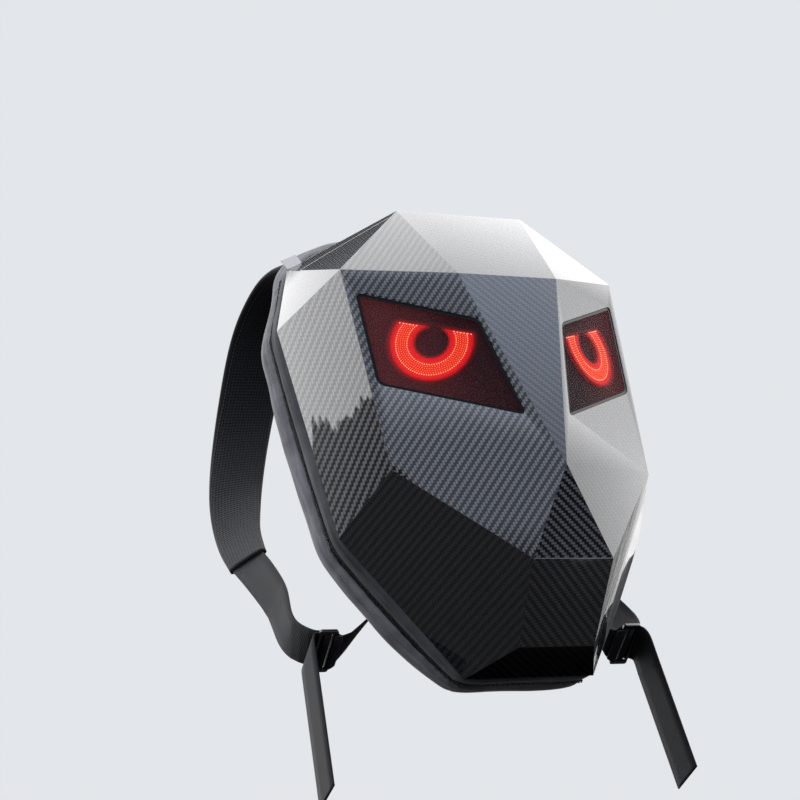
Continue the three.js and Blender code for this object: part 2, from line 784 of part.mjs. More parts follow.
const finishes = {
  carbon: { color: 0x1c1d20, roughness: 0.18, metalness: 0.1 },
  tintedLens: { color: 0x2a0d0f, roughness: 0.08, metalness: 0 },
  blackPlastic: { color: 0x0d0d0e, roughness: 0.5, metalness: 0 },
  lightRing: { color: 0xff2a12, roughness: 0.4, metalness: 0 },
  bandCloth: { color: 0x2b2c30, roughness: 0.85, metalness: 0 },
  rollCloth: { color: 0x4a4b50, roughness: 0.9, metalness: 0 },
  zip: { color: 0x0b0b0c, roughness: 0.5, metalness: 0 },
  padding: { color: 0x1e1f22, roughness: 0.95, metalness: 0 },
  webbing: { color: 0x26272b, roughness: 0.8, metalness: 0 },
  buckle: { color: 0x1a1b1d, roughness: 0.35, metalness: 0 },
  label: { color: 0xb9bcbb, roughness: 0.9, metalness: 0 },
};

const group = new THREE.Group();

function addMesh(name, finish, geometry) {
  const mesh = new THREE.Mesh(geometry, new THREE.MeshStandardMaterial(finishes[finish]));
  mesh.name = name;
  group.add(mesh);
}

function addPair(name, finish, leftGeometry) {
  addMesh(`${name}_left`, finish, leftGeometry);
  addMesh(`${name}_right`, finish, mirrorGeometry(leftGeometry));
}

addMesh('shell', 'carbon', makeShell());
addPair('lens', 'tintedLens', makeLens());
addPair('led_housing', 'blackPlastic', makeHousing());
addPair('led_ring', 'lightRing', makeRing());
addMesh('zip_cover', 'bandCloth', makeZipCover());
addMesh('zip_coil', 'zip', makeZipCoil());
addMesh('edge_roll', 'rollCloth', makeEdgeRoll());
addMesh('gusset', 'bandCloth', makeGusset());
addMesh('back_panel', 'padding', makeBackPanel());
addPair('shoulder_strap', 'padding', makeShoulderStrap());
addPair('anchor_tab', 'webbing', makeAnchorTab());
addPair('slider_buckle', 'buckle', makeBuckle());
addPair('lower_webbing', 'webbing', makeWebbing());
addMesh('side_label', 'label', makeLabel());

export default group;
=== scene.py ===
# %% [markdown]
# This lesson dresses a hard-shell backpack with two lit displays.
# The frame gives every solid at its real place, in metres: +Z is up along the spine,
# -Y is the way the shell looks and +X is the wearer's right.
# Each step says what a piece is on the real object and why it is made the way it is.

# %% Load the frame
import math

import bmesh
import bpy
import numpy as np
from mathutils import Matrix, Vector, noise
from mathutils.geometry import convex_hull_2d


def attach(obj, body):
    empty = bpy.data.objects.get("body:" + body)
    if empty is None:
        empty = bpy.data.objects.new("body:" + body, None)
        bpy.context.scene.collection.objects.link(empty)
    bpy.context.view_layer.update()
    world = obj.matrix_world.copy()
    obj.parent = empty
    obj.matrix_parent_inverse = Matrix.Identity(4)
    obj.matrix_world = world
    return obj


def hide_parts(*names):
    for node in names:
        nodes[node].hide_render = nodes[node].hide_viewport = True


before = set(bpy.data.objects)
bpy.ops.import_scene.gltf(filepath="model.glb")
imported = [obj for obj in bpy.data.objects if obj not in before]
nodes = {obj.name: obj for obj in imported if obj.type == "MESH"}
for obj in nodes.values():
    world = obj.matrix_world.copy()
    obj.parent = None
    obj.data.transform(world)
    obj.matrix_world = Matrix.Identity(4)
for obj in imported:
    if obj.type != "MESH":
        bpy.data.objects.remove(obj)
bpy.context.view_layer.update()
scene = bpy.context.scene
MM = 0.001
SIDES = ("left", "right")
print("nodes in the frame:", len(nodes))

# %% [markdown]
# Four helpers serve the whole lesson. Colours are written as a screen shows them and turned
# to linear light once. Nodes are added with their settings and links in one call. A new piece
# is linked to the scene with smooth faces, and a finished piece is tied to the frame.

# %% Shared helpers
def linear(hex_code, alpha=1.0):
    """A colour such as #6a6b70 as linear red, green, blue and alpha."""
    channels = [int(hex_code[i:i + 2], 16) / 255 for i in (1, 3, 5)]
    return [c / 12.92 if c < 0.0405 else ((c + 0.055) / 1.055) ** 2.4 for c in channels] + [alpha]


def add(tree, kind, links=None, **settings):
    """Adds one node; links maps each input to a socket or to a plain value."""
    node = tree.nodes.new(kind)
    for name, value in settings.items():
        setattr(node, name, value)
    for name, value in (links or {}).items():
        if isinstance(value, bpy.types.NodeSocket):
            tree.links.new(value, node.inputs[name])
        else:
            node.inputs[name].default_value = value
    return node


def new_material(name, **constants):
    """A material with one Principled shader whose named inputs are set on its sockets."""
    material = bpy.data.materials.new(name)
    material.use_nodes = True
    shader = material.node_tree.nodes["Principled BSDF"]
    for socket, value in constants.items():
        shader.inputs[socket.replace("_", " ")].default_value = value
    return material, material.node_tree, shader


def piece_from(bm, name, smooth=True):
    """Turns a bmesh into an object at the origin."""
    mesh = bpy.data.meshes.new(name)
    bm.to_mesh(mesh)
    bm.free()
    for polygon in mesh.polygons:
        polygon.use_smooth = smooth
    piece = bpy.data.objects.new(name, mesh)
    scene.collection.objects.link(piece)
    return piece


def tie(piece, slot, materials, *replaced):
    """Gives a piece its materials and ties it to the frame."""
    for material in materials:
        piece.data.materials.append(material)
    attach(piece, "root")
    if replaced:
        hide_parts(*replaced)
    return piece

# %% [markdown]
# A CAD node's mesh is loose triangles. A copy is merged before use, and flat neighbours are
# joined, so that a bevel follows only the real edges. The node itself is left alone.

# %% Copies of the frame's solids
def cad_copy(node_name, flat=True):
    """A merged copy of a node's mesh; flat joins the triangles of each flat face."""
    bm = bmesh.new()
    bm.from_mesh(nodes[node_name].data)
    bm.transform(nodes[node_name].matrix_world)
    bmesh.ops.remove_doubles(bm, verts=bm.verts, dist=0.02 * MM)
    if flat:
        bmesh.ops.dissolve_limit(
            bm, angle_limit=math.radians(0.6), use_dissolve_boundaries=False,
            verts=bm.verts, edges=bm.edges,
        )
    bmesh.ops.recalc_face_normals(bm, faces=bm.faces)
    return bm


def round_edges(bm, width, segments, least_angle=4):
    """Rounds every edge that turns by more than an angle in degrees."""
    sharp = [e for e in bm.edges if e.is_manifold and e.calc_face_angle() > math.radians(least_angle)]
    bmesh.ops.bevel(
        bm, geom=sharp, offset=width, offset_type="OFFSET", segments=segments, profile=0.5,
        affect="EDGES", clamp_overlap=True, material=-1,
    )
    return bm


def apply_modifiers(piece):
    """Replaces a piece's mesh with what its modifiers make of it."""
    depsgraph = bpy.context.evaluated_depsgraph_get()
    mesh = bpy.data.meshes.new_from_object(piece.evaluated_get(depsgraph))
    piece.modifiers.clear()
    piece.data = mesh
    return piece

# %% [markdown]
# The camera stands low and to the left and looks up at the pack, as in the photograph. Its
# turn is built from a bearing, a rise and a roll, so each can be read on its own.

# %% Camera
CAMERA_PLACE = Vector((-0.7784, -1.4176, -0.9019))
BEARING = math.radians(27.943)
RISE = math.radians(31.326)
ROLL = math.radians(13.63)

forward = Vector((
    math.cos(RISE) * math.sin(BEARING),
    math.cos(RISE) * math.cos(BEARING),
    math.sin(RISE),
))
level = forward.cross(Vector((0, 0, 1))).normalized()
upward = level.cross(forward)
right = level * math.cos(ROLL) - upward * math.sin(ROLL)
camera_axes = Matrix((right, right.cross(forward), -forward)).transposed()

camera_data = bpy.data.cameras.new("camera")
camera_data.lens = 90
camera_data.sensor_width = 36
camera = bpy.data.objects.new("camera", camera_data)
camera.matrix_world = Matrix.Translation(CAMERA_PLACE) @ camera_axes.to_4x4()
scene.collection.objects.link(camera)
scene.camera = camera
scene.view_settings.view_transform = "Standard"
print("camera looks along", [round(v, 3) for v in forward])

# %% [markdown]
# A glossy faceted shell shows mostly what it mirrors, so the studio is a dome with a bright
# top, a brighter left, a greyer right and a cooler, darker front. It is dark below the
# skyline, which stands higher on the left. A dark flag above the shoulders keeps two facets
# black but for one thin slit. Cloth is lit by a plain slope from below to above.

# %% Studio dome
world = bpy.data.worlds.new("studio_dome")
scene.world = world
world.use_nodes = True
dome = world.node_tree
dome.nodes.clear()

TOP_RIGHT, TOP_LEFT = 2.8, 3.3
SIDE_RIGHT, SIDE_LEFT = 2.15, 2.75
ZENITH = 3.5
FRONT_LOW, FRONT_HIGH = 0.9, 3.0
GROUND_NEAR, GROUND_FAR = 0.08, 0.02
FLAG_WAY = Vector((0.087, 0.49, 0.866)).normalized()
SLIT_WAY = Vector((0.707, 0.578, -0.408)).normalized()
FLOOR_STRIP_WAY = Vector((0.54, -0.60, -0.59)).normalized()
STREAK_WAY = Vector((0.64, 0.69, 0.33)).normalized()


def ramp(value, low, high, to_low=0.0, to_high=1.0):
    """A smooth step of a dome value between two limits."""
    return add(dome, "ShaderNodeMapRange", {
        "Value": value, "From Min": low, "From Max": high, "To Min": to_low, "To Max": to_high,
    }, interpolation_type="SMOOTHSTEP").outputs[0]


def blend(share, first, second):
    return add(dome, "ShaderNodeMix", {0: share, 2: first, 3: second}).outputs[0]


def times(first, second):
    return add(dome, "ShaderNodeMath", {0: first, 1: second}, operation="MULTIPLY").outputs[0]


def near_way(direction, outer, inner, amount=1.0):
    """A round patch of the dome about a direction, between two cosines."""
    nearness = add(dome, "ShaderNodeVectorMath", {0: way, 1: direction},
                   operation="DOT_PRODUCT").outputs["Value"]
    return ramp(nearness, outer, inner, 0.0, amount)


way = add(dome, "ShaderNodeTexCoord").outputs["Generated"]
parts = add(dome, "ShaderNodeSeparateXYZ", {0: way}).outputs
front = ramp(parts["Y"], -0.3, -0.62)
left = ramp(parts["X"], -0.12, -0.45)
sides = blend(left, SIDE_RIGHT, SIDE_LEFT)
tops = blend(ramp(parts["Z"], 0.92, 0.97), blend(left, TOP_RIGHT, TOP_LEFT), ZENITH)
around = blend(ramp(parts["Z"], 0.5, 0.78), sides, tops)
facing = blend(ramp(parts["Z"], 0.36, 0.75), FRONT_LOW, FRONT_HIGH)
open_sky = blend(front, around, facing)
tint = add(dome, "ShaderNodeMix", {0: front, 6: linear("#fcfcfd"), 7: linear("#c2cde2")},
           data_type="RGBA").outputs[2]

across_streaks = add(dome, "ShaderNodeVectorMath", {0: way, 1: Vector((-0.733, 0.429, 0.523))},
                     operation="DOT_PRODUCT").outputs["Value"]
streak_place = add(dome, "ShaderNodeCombineXYZ", {
    "X": times(across_streaks, 260.0), "Y": times(parts["Z"], 24.0),
}).outputs[0]
streaks = add(dome, "ShaderNodeTexNoise", {"Vector": streak_place, "Scale": 1.0}).outputs[0]
streaked = times(ramp(streaks, 0.55, 0.45, 0.6, 1.0), ramp(parts["Z"], 0.36, 0.325, 0.75, 0.985))
dulled = times(near_way(STREAK_WAY, 0.9, 0.96), streaked)
beside_slit = add(dome, "ShaderNodeVectorMath", {0: way, 1: SLIT_WAY},
                  operation="DOT_PRODUCT").outputs["Value"]
slit_gap = add(dome, "ShaderNodeMath", {0: beside_slit}, operation="ABSOLUTE").outputs[0]
flag = times(near_way(FLAG_WAY, 0.955, 0.972, 0.985), ramp(slit_gap, 0.0004, 0.003, 0.3, 1.0))
open_share = times(add(dome, "ShaderNodeMath", {0: 1.0, 1: flag}, operation="SUBTRACT").outputs[0],
                   add(dome, "ShaderNodeMath", {0: 1.0, 1: dulled}, operation="SUBTRACT").outputs[0])
sky = times(open_sky, open_share)

raised = ramp(parts["X"], -0.6, -0.7)
flat_way = add(dome, "ShaderNodeCombineXYZ", {0: parts["X"], 1: parts["Y"]}).outputs[0]
roofs = add(dome, "ShaderNodeTexNoise", {"Vector": flat_way, "Scale": 26.0, "Detail": 4.0}).outputs[0]
skyline = blend(raised, 0.02, 0.409)
jagged = add(dome, "ShaderNodeMath", {0: roofs, 1: 0.05, 2: skyline}, operation="MULTIPLY_ADD").outputs[0]
above = add(dome, "ShaderNodeMath", {0: parts["Z"], 1: jagged}, operation="SUBTRACT").outputs[0]
in_sky = ramp(above, 0.0, blend(raised, 0.12, 0.006))
ground = times(blend(ramp(parts["Z"], 0.0, -0.3), GROUND_FAR, GROUND_NEAR), ramp(parts["Y"], 0.75, 0.45))
floor_strip = near_way(FLOOR_STRIP_WAY, 0.935, 0.965, 3.2)
low_light = add(dome, "ShaderNodeMath", {0: ground, 1: floor_strip}, operation="ADD").outputs[0]
mirrored_light = blend(in_sky, low_light, sky)
soft_light = times(ramp(parts["Z"], -0.55, 0.9, 0.04, 1.7), ramp(parts["X"], 0.8, -0.8, 0.8, 1.25))

rays = add(dome, "ShaderNodeLightPath").outputs
paler = times(rays["Is Diffuse Ray"], 0.55)
light_colour = add(dome, "ShaderNodeMix", {0: paler, 6: tint, 7: linear("#ffffff")},
                   data_type="RGBA").outputs[2]
light = add(dome, "ShaderNodeBackground", {
    "Color": light_colour, "Strength": blend(rays["Is Diffuse Ray"], mirrored_light, soft_light),
}).outputs[0]
paper = add(dome, "ShaderNodeBackground", {"Color": linear("#e3e6ea"), "Strength": 1.0}).outputs[0]
mixed = add(dome, "ShaderNodeMixShader", {0: rays["Is Camera Ray"], 1: light, 2: paper}).outputs[0]
add(dome, "ShaderNodeOutputWorld", {"Surface": mixed})

# %% Floor
FLOOR_HEIGHT = -1.3
floor_bm = bmesh.new()
bmesh.ops.create_grid(floor_bm, x_segments=1, y_segments=1, size=6)
bmesh.ops.translate(floor_bm, verts=floor_bm.verts, vec=(0, 0, FLOOR_HEIGHT))
floor = piece_from(floor_bm, "studio_floor", smooth=False)
floor_paint, _, _ = new_material("matt_painted_floor", Base_Color=linear("#dfe1e4"), Roughness=0.9)
floor.data.materials.append(floor_paint)
floor.visible_glossy = False
floor.visible_diffuse = False

# %% [markdown]
# The shell is moulded plastic under a printed carbon film with a thick clear gloss. A 2 by 2
# twill has threads that pass over two and under two, one step on in each row, which gives the
# slanting lines. The real tows are about 2.2 mm wide. The gloss lies smooth over the weave,
# so the coat keeps its own normal and only the film below is bumped. The film's colour holds
# painted light: the raised warp tows are partly the print and partly a painted glint, each tow
# is painted darker towards its edges, and how deep the weave shows is set facet by facet as painted light and
# shade.

# %% Carbon film
TOW = 2.15 * MM
FILM_MAP = "film"
FILM_DEPTH_PAINTED_LIGHT = "weave_depth_as_painted_light"


def carbon_film():
    material, tree, shader = new_material(
        "gloss_coated_carbon_twill_film",
        Metallic=0.12, Roughness=0.35, Specular_IOR_Level=0.1, Coat_Weight=1.0,
        Coat_Roughness=0.015, Coat_IOR=1.72,
    )
    place = add(tree, "ShaderNodeUVMap", uv_map=FILM_MAP).outputs[0]
    tows = add(tree, "ShaderNodeVectorMath", {0: place, "Scale": 1 / TOW}, operation="SCALE").outputs[0]
    cell = add(tree, "ShaderNodeVectorMath", {0: tows}, operation="FLOOR").outputs[0]
    inside = add(tree, "ShaderNodeVectorMath", {0: tows}, operation="FRACTION").outputs[0]
    cells = add(tree, "ShaderNodeSeparateXYZ", {0: cell}).outputs
    insides = add(tree, "ShaderNodeSeparateXYZ", {0: inside}).outputs
    step = add(tree, "ShaderNodeMath", {0: cells["X"], 1: cells["Y"]}, operation="SUBTRACT").outputs[0]
    phase = add(tree, "ShaderNodeMath", {0: step, 1: 4.0}, operation="FLOORED_MODULO").outputs[0]
    warp_up = add(tree, "ShaderNodeMath", {0: phase, 1: 1.5}, operation="LESS_THAN").outputs[0]
    across = add(tree, "ShaderNodeMix", {0: warp_up, 2: insides["Y"], 3: insides["X"]}).outputs[0]
    centred = add(tree, "ShaderNodeMath", {0: across, 1: 2.0, 2: -1.0}, operation="MULTIPLY_ADD").outputs[0]
    squared = add(tree, "ShaderNodeMath", {0: centred, 1: centred}, operation="MULTIPLY").outputs[0]
    crown = add(tree, "ShaderNodeMath", {0: 1.0, 1: squared}, operation="SUBTRACT").outputs[0]
    # Painted shade: each tow is drawn darker towards its edges.
    painted_tow_shade = add(tree, "ShaderNodeMath", {0: crown, 1: 0.75, 2: 0.25}, operation="MULTIPLY_ADD").outputs[0]
    painted_glint = add(tree, "ShaderNodeMath", {0: warp_up, 1: painted_tow_shade}, operation="MULTIPLY").outputs[0]
    # The facet's weave depth is painted light and shade: it sets how much weave each facet shows under its
    # light.
    depth = add(tree, "ShaderNodeAttribute", attribute_name=FILM_DEPTH_PAINTED_LIGHT).outputs["Fac"]
    # The pale warp tows are partly the film's print and partly a painted glint.
    tow_colour = add(tree, "ShaderNodeMix", {
        0: painted_glint, 6: linear("#0c0d0f"), 7: linear("#838488"),
    }, data_type="RGBA").outputs[2]
    even_colour = linear("#1b1c1f")
    film_colour = add(tree, "ShaderNodeMix", {0: depth, 6: even_colour, 7: tow_colour},
                      data_type="RGBA").outputs[2]
    cloudy = add(tree, "ShaderNodeTexNoise", {"Vector": place, "Scale": 60.0, "Detail": 3.0}).outputs[0]
    worn = add(tree, "ShaderNodeMath", {0: cloudy, 1: 0.3, 2: 0.85}, operation="MULTIPLY_ADD").outputs[0]
    colour = add(tree, "ShaderNodeVectorMath", {0: film_colour, "Scale": worn}, operation="SCALE").outputs[0]
    relief = add(tree, "ShaderNodeMath", {0: depth, 1: 0.35}, operation="MULTIPLY").outputs[0]
    bump = add(tree, "ShaderNodeBump", {"Height": crown, "Strength": relief, "Distance": 0.2 * MM}).outputs[0]
    tree.links.new(colour, shader.inputs["Base Color"])
    tree.links.new(bump, shader.inputs["Normal"])
    return material


CARBON = carbon_film()

# %% [markdown]
# The shell's copy gets rounded edges about a millimetre wide, because a moulded edge is never
# sharp and the thin bright lines between the facets come from that rounding. The film's map is
# laid facet by facet: the table tells each facet by the way it looks, then the lean of its
# lines, the depth of its weave, which is painted light and shade set facet by facet, and,
# where the film was pulled wider, its stretch.

# %% Shell
EDGE_ROUNDING = 0.9 * MM
# Each depth is painted light and shade for that facet, not a change in the film itself.
FILM_BY_FACET = {
    "middle_wedge": {"bearing": 0, "rise": 2, "lean": -48, "depth": 0.3},
    "left_eye": {"bearing": -31, "rise": -5, "lean": 45, "depth": 0.75},
    "right_eye": {"bearing": 31, "rise": -5, "lean": -45, "depth": 0.25},
    "left_brow": {"bearing": -21, "rise": 21, "lean": 58, "depth": 0.35},
    "right_brow": {"bearing": 21, "rise": 21, "lean": -58, "depth": 0.15},
    "crown": {"bearing": 0, "rise": 25, "lean": -20, "depth": 0.15},
    "left_shoulder": {"bearing": -51, "rise": 38, "lean": 50, "depth": 0.45},
    "left_back_shoulder": {"bearing": -53, "rise": 56, "lean": 50, "depth": 0.45},
    "right_shoulder": {"bearing": 51, "rise": 38, "lean": -50, "depth": 0.3},
    "back_crown": {"bearing": 0, "rise": 65, "lean": -20, "depth": 0.3},
    "left_triangle": {"bearing": -73, "rise": 17, "lean": 45, "depth": 0.08},
    "right_triangle": {"bearing": 73, "rise": 17, "lean": -45, "depth": 0.3},
    "left_side": {"bearing": -72, "rise": -4, "lean": 32, "depth": 0.62, "stretch": 1.33},
    "right_side": {"bearing": 72, "rise": -4, "lean": -32, "depth": 0.5, "stretch": 1.33},
    "left_low": {"bearing": -65, "rise": -30, "lean": 14, "depth": 0.1},
    "right_low": {"bearing": 65, "rise": -30, "lean": -14, "depth": 0.1},
    "nose": {"bearing": 0, "rise": -22, "lean": -45, "depth": 0.7},
    "chin": {"bearing": 0, "rise": -52, "lean": -46, "depth": 0.3},
    "underside": {"bearing": 0, "rise": -90, "lean": -45, "depth": 0.1},
}


def looking(bearing, rise):
    """The direction at a bearing from the front and a rise, both in degrees."""
    a, b = math.radians(bearing), math.radians(rise)
    return Vector((math.sin(a) * math.cos(b), -math.cos(a) * math.cos(b), math.sin(b)))


def film_on(normal):
    return max(FILM_BY_FACET.values(), key=lambda f: normal.dot(looking(f["bearing"], f["rise"])))


def lay_film(bm):
    """Gives every face its own flat map in metres, turned to the way its lines lean."""
    layer = bm.loops.layers.uv.new(FILM_MAP)
    painted_light_layer = bm.faces.layers.float.new(FILM_DEPTH_PAINTED_LIGHT)
    for face in bm.faces:
        level_axis = Vector((0, 0, 1)).cross(face.normal)
        if level_axis.length < 0.05:
            level_axis = Vector((1, 0, 0))
        level_axis.normalize()
        rise_axis = face.normal.cross(level_axis)
        film = film_on(face.normal)
        # Painted light and shade: the facet's weave depth.
        face[painted_light_layer] = film["depth"]
        turn = math.radians(film["lean"] - 45)
        stretch = film.get("stretch", 1.0)
        for loop in face.loops:
            a = loop.vert.co.dot(level_axis) / stretch
            b = loop.vert.co.dot(rise_axis) / stretch
            loop[layer].uv = (
                a * math.cos(turn) + b * math.sin(turn),
                b * math.cos(turn) - a * math.sin(turn),
            )


shell_bm = round_edges(cad_copy("shell"), EDGE_ROUNDING, 3)
lay_film(shell_bm)
shell = piece_from(shell_bm, "shell_moulding", smooth=True)
tie(shell, "shell_carbon", [CARBON], "shell")
print("shell faces:", len(shell.data.polygons))

# %% [markdown]
# Each window is a smoked maroon acrylic pane with a black printed border. It lets part of the
# light through, so the diodes behind it show. Round the lit ring the pane itself is given a soft
# red painted glow, which stands for the ring's light spreading in the acrylic.

# %% Window panes
PANE_BORDER = 2.2 * MM
PANE_THINNING = 1.3 * MM
PAINTED_GLOW_REACH = 6 * MM


def ring_place(side):
    """The ring's own frame, X along its straight edge and Z out of the window, and its sizes."""
    ring = bmesh.new()
    ring.from_mesh(nodes[f"led_ring_{side}"].data)
    ring.transform(nodes[f"led_ring_{side}"].matrix_world)
    outward = max(ring.faces, key=lambda f: f.calc_area() * (f.normal.y < -0.3)).normal.copy()
    front = max(v.co.dot(outward) for v in ring.verts)
    across = Vector((0, 0, 1)).cross(outward).normalized()
    rise = outward.cross(across)
    flat = [(v.co.dot(across), v.co.dot(rise)) for v in ring.verts]
    ring.free()
    hull = [flat[i] for i in convex_hull_2d(flat)]
    terms = [(2 * a, 2 * b, 1) for a, b in hull]
    sums = [a * a + b * b for a, b in hull]
    centre_a, centre_b, _ = np.linalg.lstsq(np.array(terms), np.array(sums), rcond=None)[0]
    gaps = [(math.dist(hull[i - 1], hull[i]), hull[i - 1], hull[i]) for i in range(len(hull))]
    _, start, end = max(gaps)
    chord = across * (end[0] - start[0]) + rise * (end[1] - start[1])
    x_axis = chord.normalized() if chord.dot(across) > 0 else -chord.normalized()
    y_axis = outward.cross(x_axis)
    centre = across * centre_a + rise * centre_b + outward * front
    axes = Matrix((x_axis, y_axis, outward)).transposed().to_4x4()
    radius = max(math.dist(p, (centre_a, centre_b)) for p in hull)
    chord_middle = across * (start[0] + end[0]) / 2 + rise * (start[1] + end[1]) / 2
    chord_height = (chord_middle - centre).dot(y_axis)
    return Matrix.Translation(centre) @ axes, radius, chord_height


RINGS = {side: ring_place(side) for side in SIDES}
RING_PLACES = {side: RINGS[side][0] for side in SIDES}
RING_RADIUS, CHORD_HEIGHT = RINGS["left"][1:]
print("ring radius and chord height in mm:", round(RING_RADIUS / MM, 1), round(CHORD_HEIGHT / MM, 1))


def map_value(tree, value, low, high, to_low=0.0, to_high=1.0):
    """A smooth step of a shader value between two limits."""
    return add(tree, "ShaderNodeMapRange", {
        "Value": value, "From Min": low, "From Max": high, "To Min": to_low, "To Max": to_high,
    }, interpolation_type="SMOOTHSTEP").outputs[0]


def ring_radius_node(tree, side, place):
    """Distance from the ring's axis of a place in the shader."""
    return add(tree, "ShaderNodeVectorMath", {0: place, 1: RING_PLACES[side].translation},
               operation="DISTANCE").outputs["Value"]


def pane_material(side):
    material, tree, shader = new_material(
        f"smoked_acrylic_pane_with_painted_glow_{side}",
        Roughness=0.3, Specular_IOR_Level=0.0, Coat_Weight=0.12, Coat_Roughness=0.02,
        Coat_IOR=1.49, Alpha=0.35,
    )
    place = add(tree, "ShaderNodeTexCoord").outputs["Object"]
    # Painted glow: the pane gives off red light round the lit ring, though it is no lamp.
    away = ring_radius_node(tree, side, place)
    outside = map_value(tree, away, RING_RADIUS + PAINTED_GLOW_REACH, RING_RADIUS - 2 * MM)
    from_chord = add(tree, "ShaderNodeVectorMath", {0: place, 1: RING_PLACES[side].translation},
                     operation="SUBTRACT").outputs[0]
    height = add(tree, "ShaderNodeVectorMath", {0: from_chord, 1: RING_PLACES[side].col[1].xyz},
                 operation="DOT_PRODUCT").outputs["Value"]
    below_chord = map_value(tree, height, CHORD_HEIGHT + 5 * MM, CHORD_HEIGHT - 2 * MM)
    off_pupil = map_value(tree, away, 14 * MM, 17.5 * MM, 0.1, 1.0)
    painted_halo = add(tree, "ShaderNodeMath", {0: outside, 1: below_chord}, operation="MULTIPLY").outputs[0]
    painted_glow = add(tree, "ShaderNodeMath", {0: painted_halo, 1: off_pupil}, operation="MULTIPLY").outputs[0]
    squared = add(tree, "ShaderNodeMath", {0: painted_glow, 1: 2.0}, operation="POWER").outputs[0]
    strength = add(tree, "ShaderNodeMath", {0: squared, 1: 0.42}, operation="MULTIPLY").outputs[0]
    smoke = add(tree, "ShaderNodeTexNoise", {"Vector": place, "Scale": 14.0, "Detail": 2.0}).outputs[0]
    parts_of_place = add(tree, "ShaderNodeSeparateXYZ", {0: place}).outputs
    sideways = add(tree, "ShaderNodeMath", {0: parts_of_place["X"]}, operation="ABSOLUTE").outputs[0]
    towards_side = map_value(tree, sideways, 30 * MM, 120 * MM, -0.25, 0.75)
    share = add(tree, "ShaderNodeMath", {0: smoke, 1: 0.6, 2: towards_side},
                operation="MULTIPLY_ADD").outputs[0]
    maroon = add(tree, "ShaderNodeMix", {
        0: share, 6: linear("#3f1c22"), 7: linear("#7a393b"),
    }, data_type="RGBA").outputs[2]
    tree.links.new(maroon, shader.inputs["Base Color"])
    # The colour of the painted glow.
    shader.inputs["Emission Color"].default_value = linear("#ff0c14")
    tree.links.new(strength, shader.inputs["Emission Strength"])
    return material


BORDER_BLACK, _, _ = new_material(
    "black_printed_border", Base_Color=linear("#060607"), Roughness=0.3,
    Specular_IOR_Level=0.15, Coat_Weight=0.1, Coat_Roughness=0.05,
)


def make_pane(side):
    """The pane's solid, thinned from behind, with its printed border."""
    bm = cad_copy(f"lens_{side}")
    outward = RING_PLACES[side].col[2].xyz
    front_level = max(v.co.dot(outward) for v in bm.verts)
    rear_verts = [v for v in bm.verts if front_level - v.co.dot(outward) > 1 * MM]
    bmesh.ops.translate(bm, verts=rear_verts, vec=outward * PANE_THINNING)
    middle = [f for f in bm.faces if f.normal.dot(outward) > 0.9]
    border = bmesh.ops.inset_region(bm, faces=middle, thickness=PANE_BORDER, use_even_offset=True)
    for face in border["faces"]:
        face.material_index = 1
    print("pane", side, "border faces:", len(border["faces"]))
    return piece_from(bm, f"window_pane_{side}", smooth=False)


for side in SIDES:
    tie(make_pane(side), "lens_smoked", [pane_material(side), BORDER_BLACK], f"lens_{side}")

# %% [markdown]
# The lit ring is a red board with rows of small diodes close behind the pane. The first and
# last rows are bright, the rows between are finer, and short rows of the whitest diodes end
# the two arms. The board's own light dies away towards its inner and outer edge.

# %% Lit rings
BOARD_LIFT = 0.8 * MM
DOME_HEIGHT = 0.6 * MM
DIODE_PITCH_MM = 2.1
BRIGHT_ROWS_MM = (21.2, 30.8)
FINE_ROWS_MM = (23.1, 25.0, 27.0, 28.9)
END_ROW_MM = (16.5, 31.5)


def board_material(side):
    """Red light that is hottest between the rows and fades at both edges of the ring."""
    material, tree, shader = new_material(
        f"red_lit_diode_board_{side}", Base_Color=linear("#5a0503"), Roughness=0.5,
    )
    place = add(tree, "ShaderNodeTexCoord").outputs["Object"]
    away = ring_radius_node(tree, side, place)
    rising = map_value(tree, away, 13.5 * MM, 17 * MM, 0.1, 1.0)
    falling = map_value(tree, away, RING_RADIUS, RING_RADIUS - 3.5 * MM, 0.25, 1.0)
    grain = add(tree, "ShaderNodeTexVoronoi", {"Vector": place, "Scale": 650.0}).outputs["Distance"]
    speckle = map_value(tree, grain, 0.05, 0.8, 1.15, 0.75)
    both = add(tree, "ShaderNodeMath", {0: rising, 1: falling}, operation="MULTIPLY").outputs[0]
    spread = add(tree, "ShaderNodeMath", {0: both, 1: speckle}, operation="MULTIPLY").outputs[0]
    strength = add(tree, "ShaderNodeMath", {0: spread, 1: 1.15}, operation="MULTIPLY").outputs[0]
    past_first = map_value(tree, away, 18 * MM, 21.5 * MM)
    before_last = map_value(tree, away, 33.5 * MM, 30.5 * MM)
    hot = add(tree, "ShaderNodeMath", {0: past_first, 1: before_last}, operation="MULTIPLY").outputs[0]
    colour = add(tree, "ShaderNodeMix", {0: hot, 6: linear("#ff0305"), 7: linear("#ff3814")},
                 data_type="RGBA").outputs[2]
    tree.links.new(colour, shader.inputs["Emission Color"])
    tree.links.new(strength, shader.inputs["Emission Strength"])
    return material


def diode_material(name, colour, strength):
    return new_material(
        name, Base_Color=linear(colour), Roughness=0.3, Emission_Color=linear(colour),
        Emission_Strength=strength,
    )[0]


FINE_DIODE = diode_material("fine_diode_dome", "#ff8450", 1.7)
BRIGHT_DIODE = diode_material("bright_diode_dome", "#ffa878", 2.5)
WHITE_DIODE = diode_material("white_diode_dome", "#ffb8a6", 2.4)


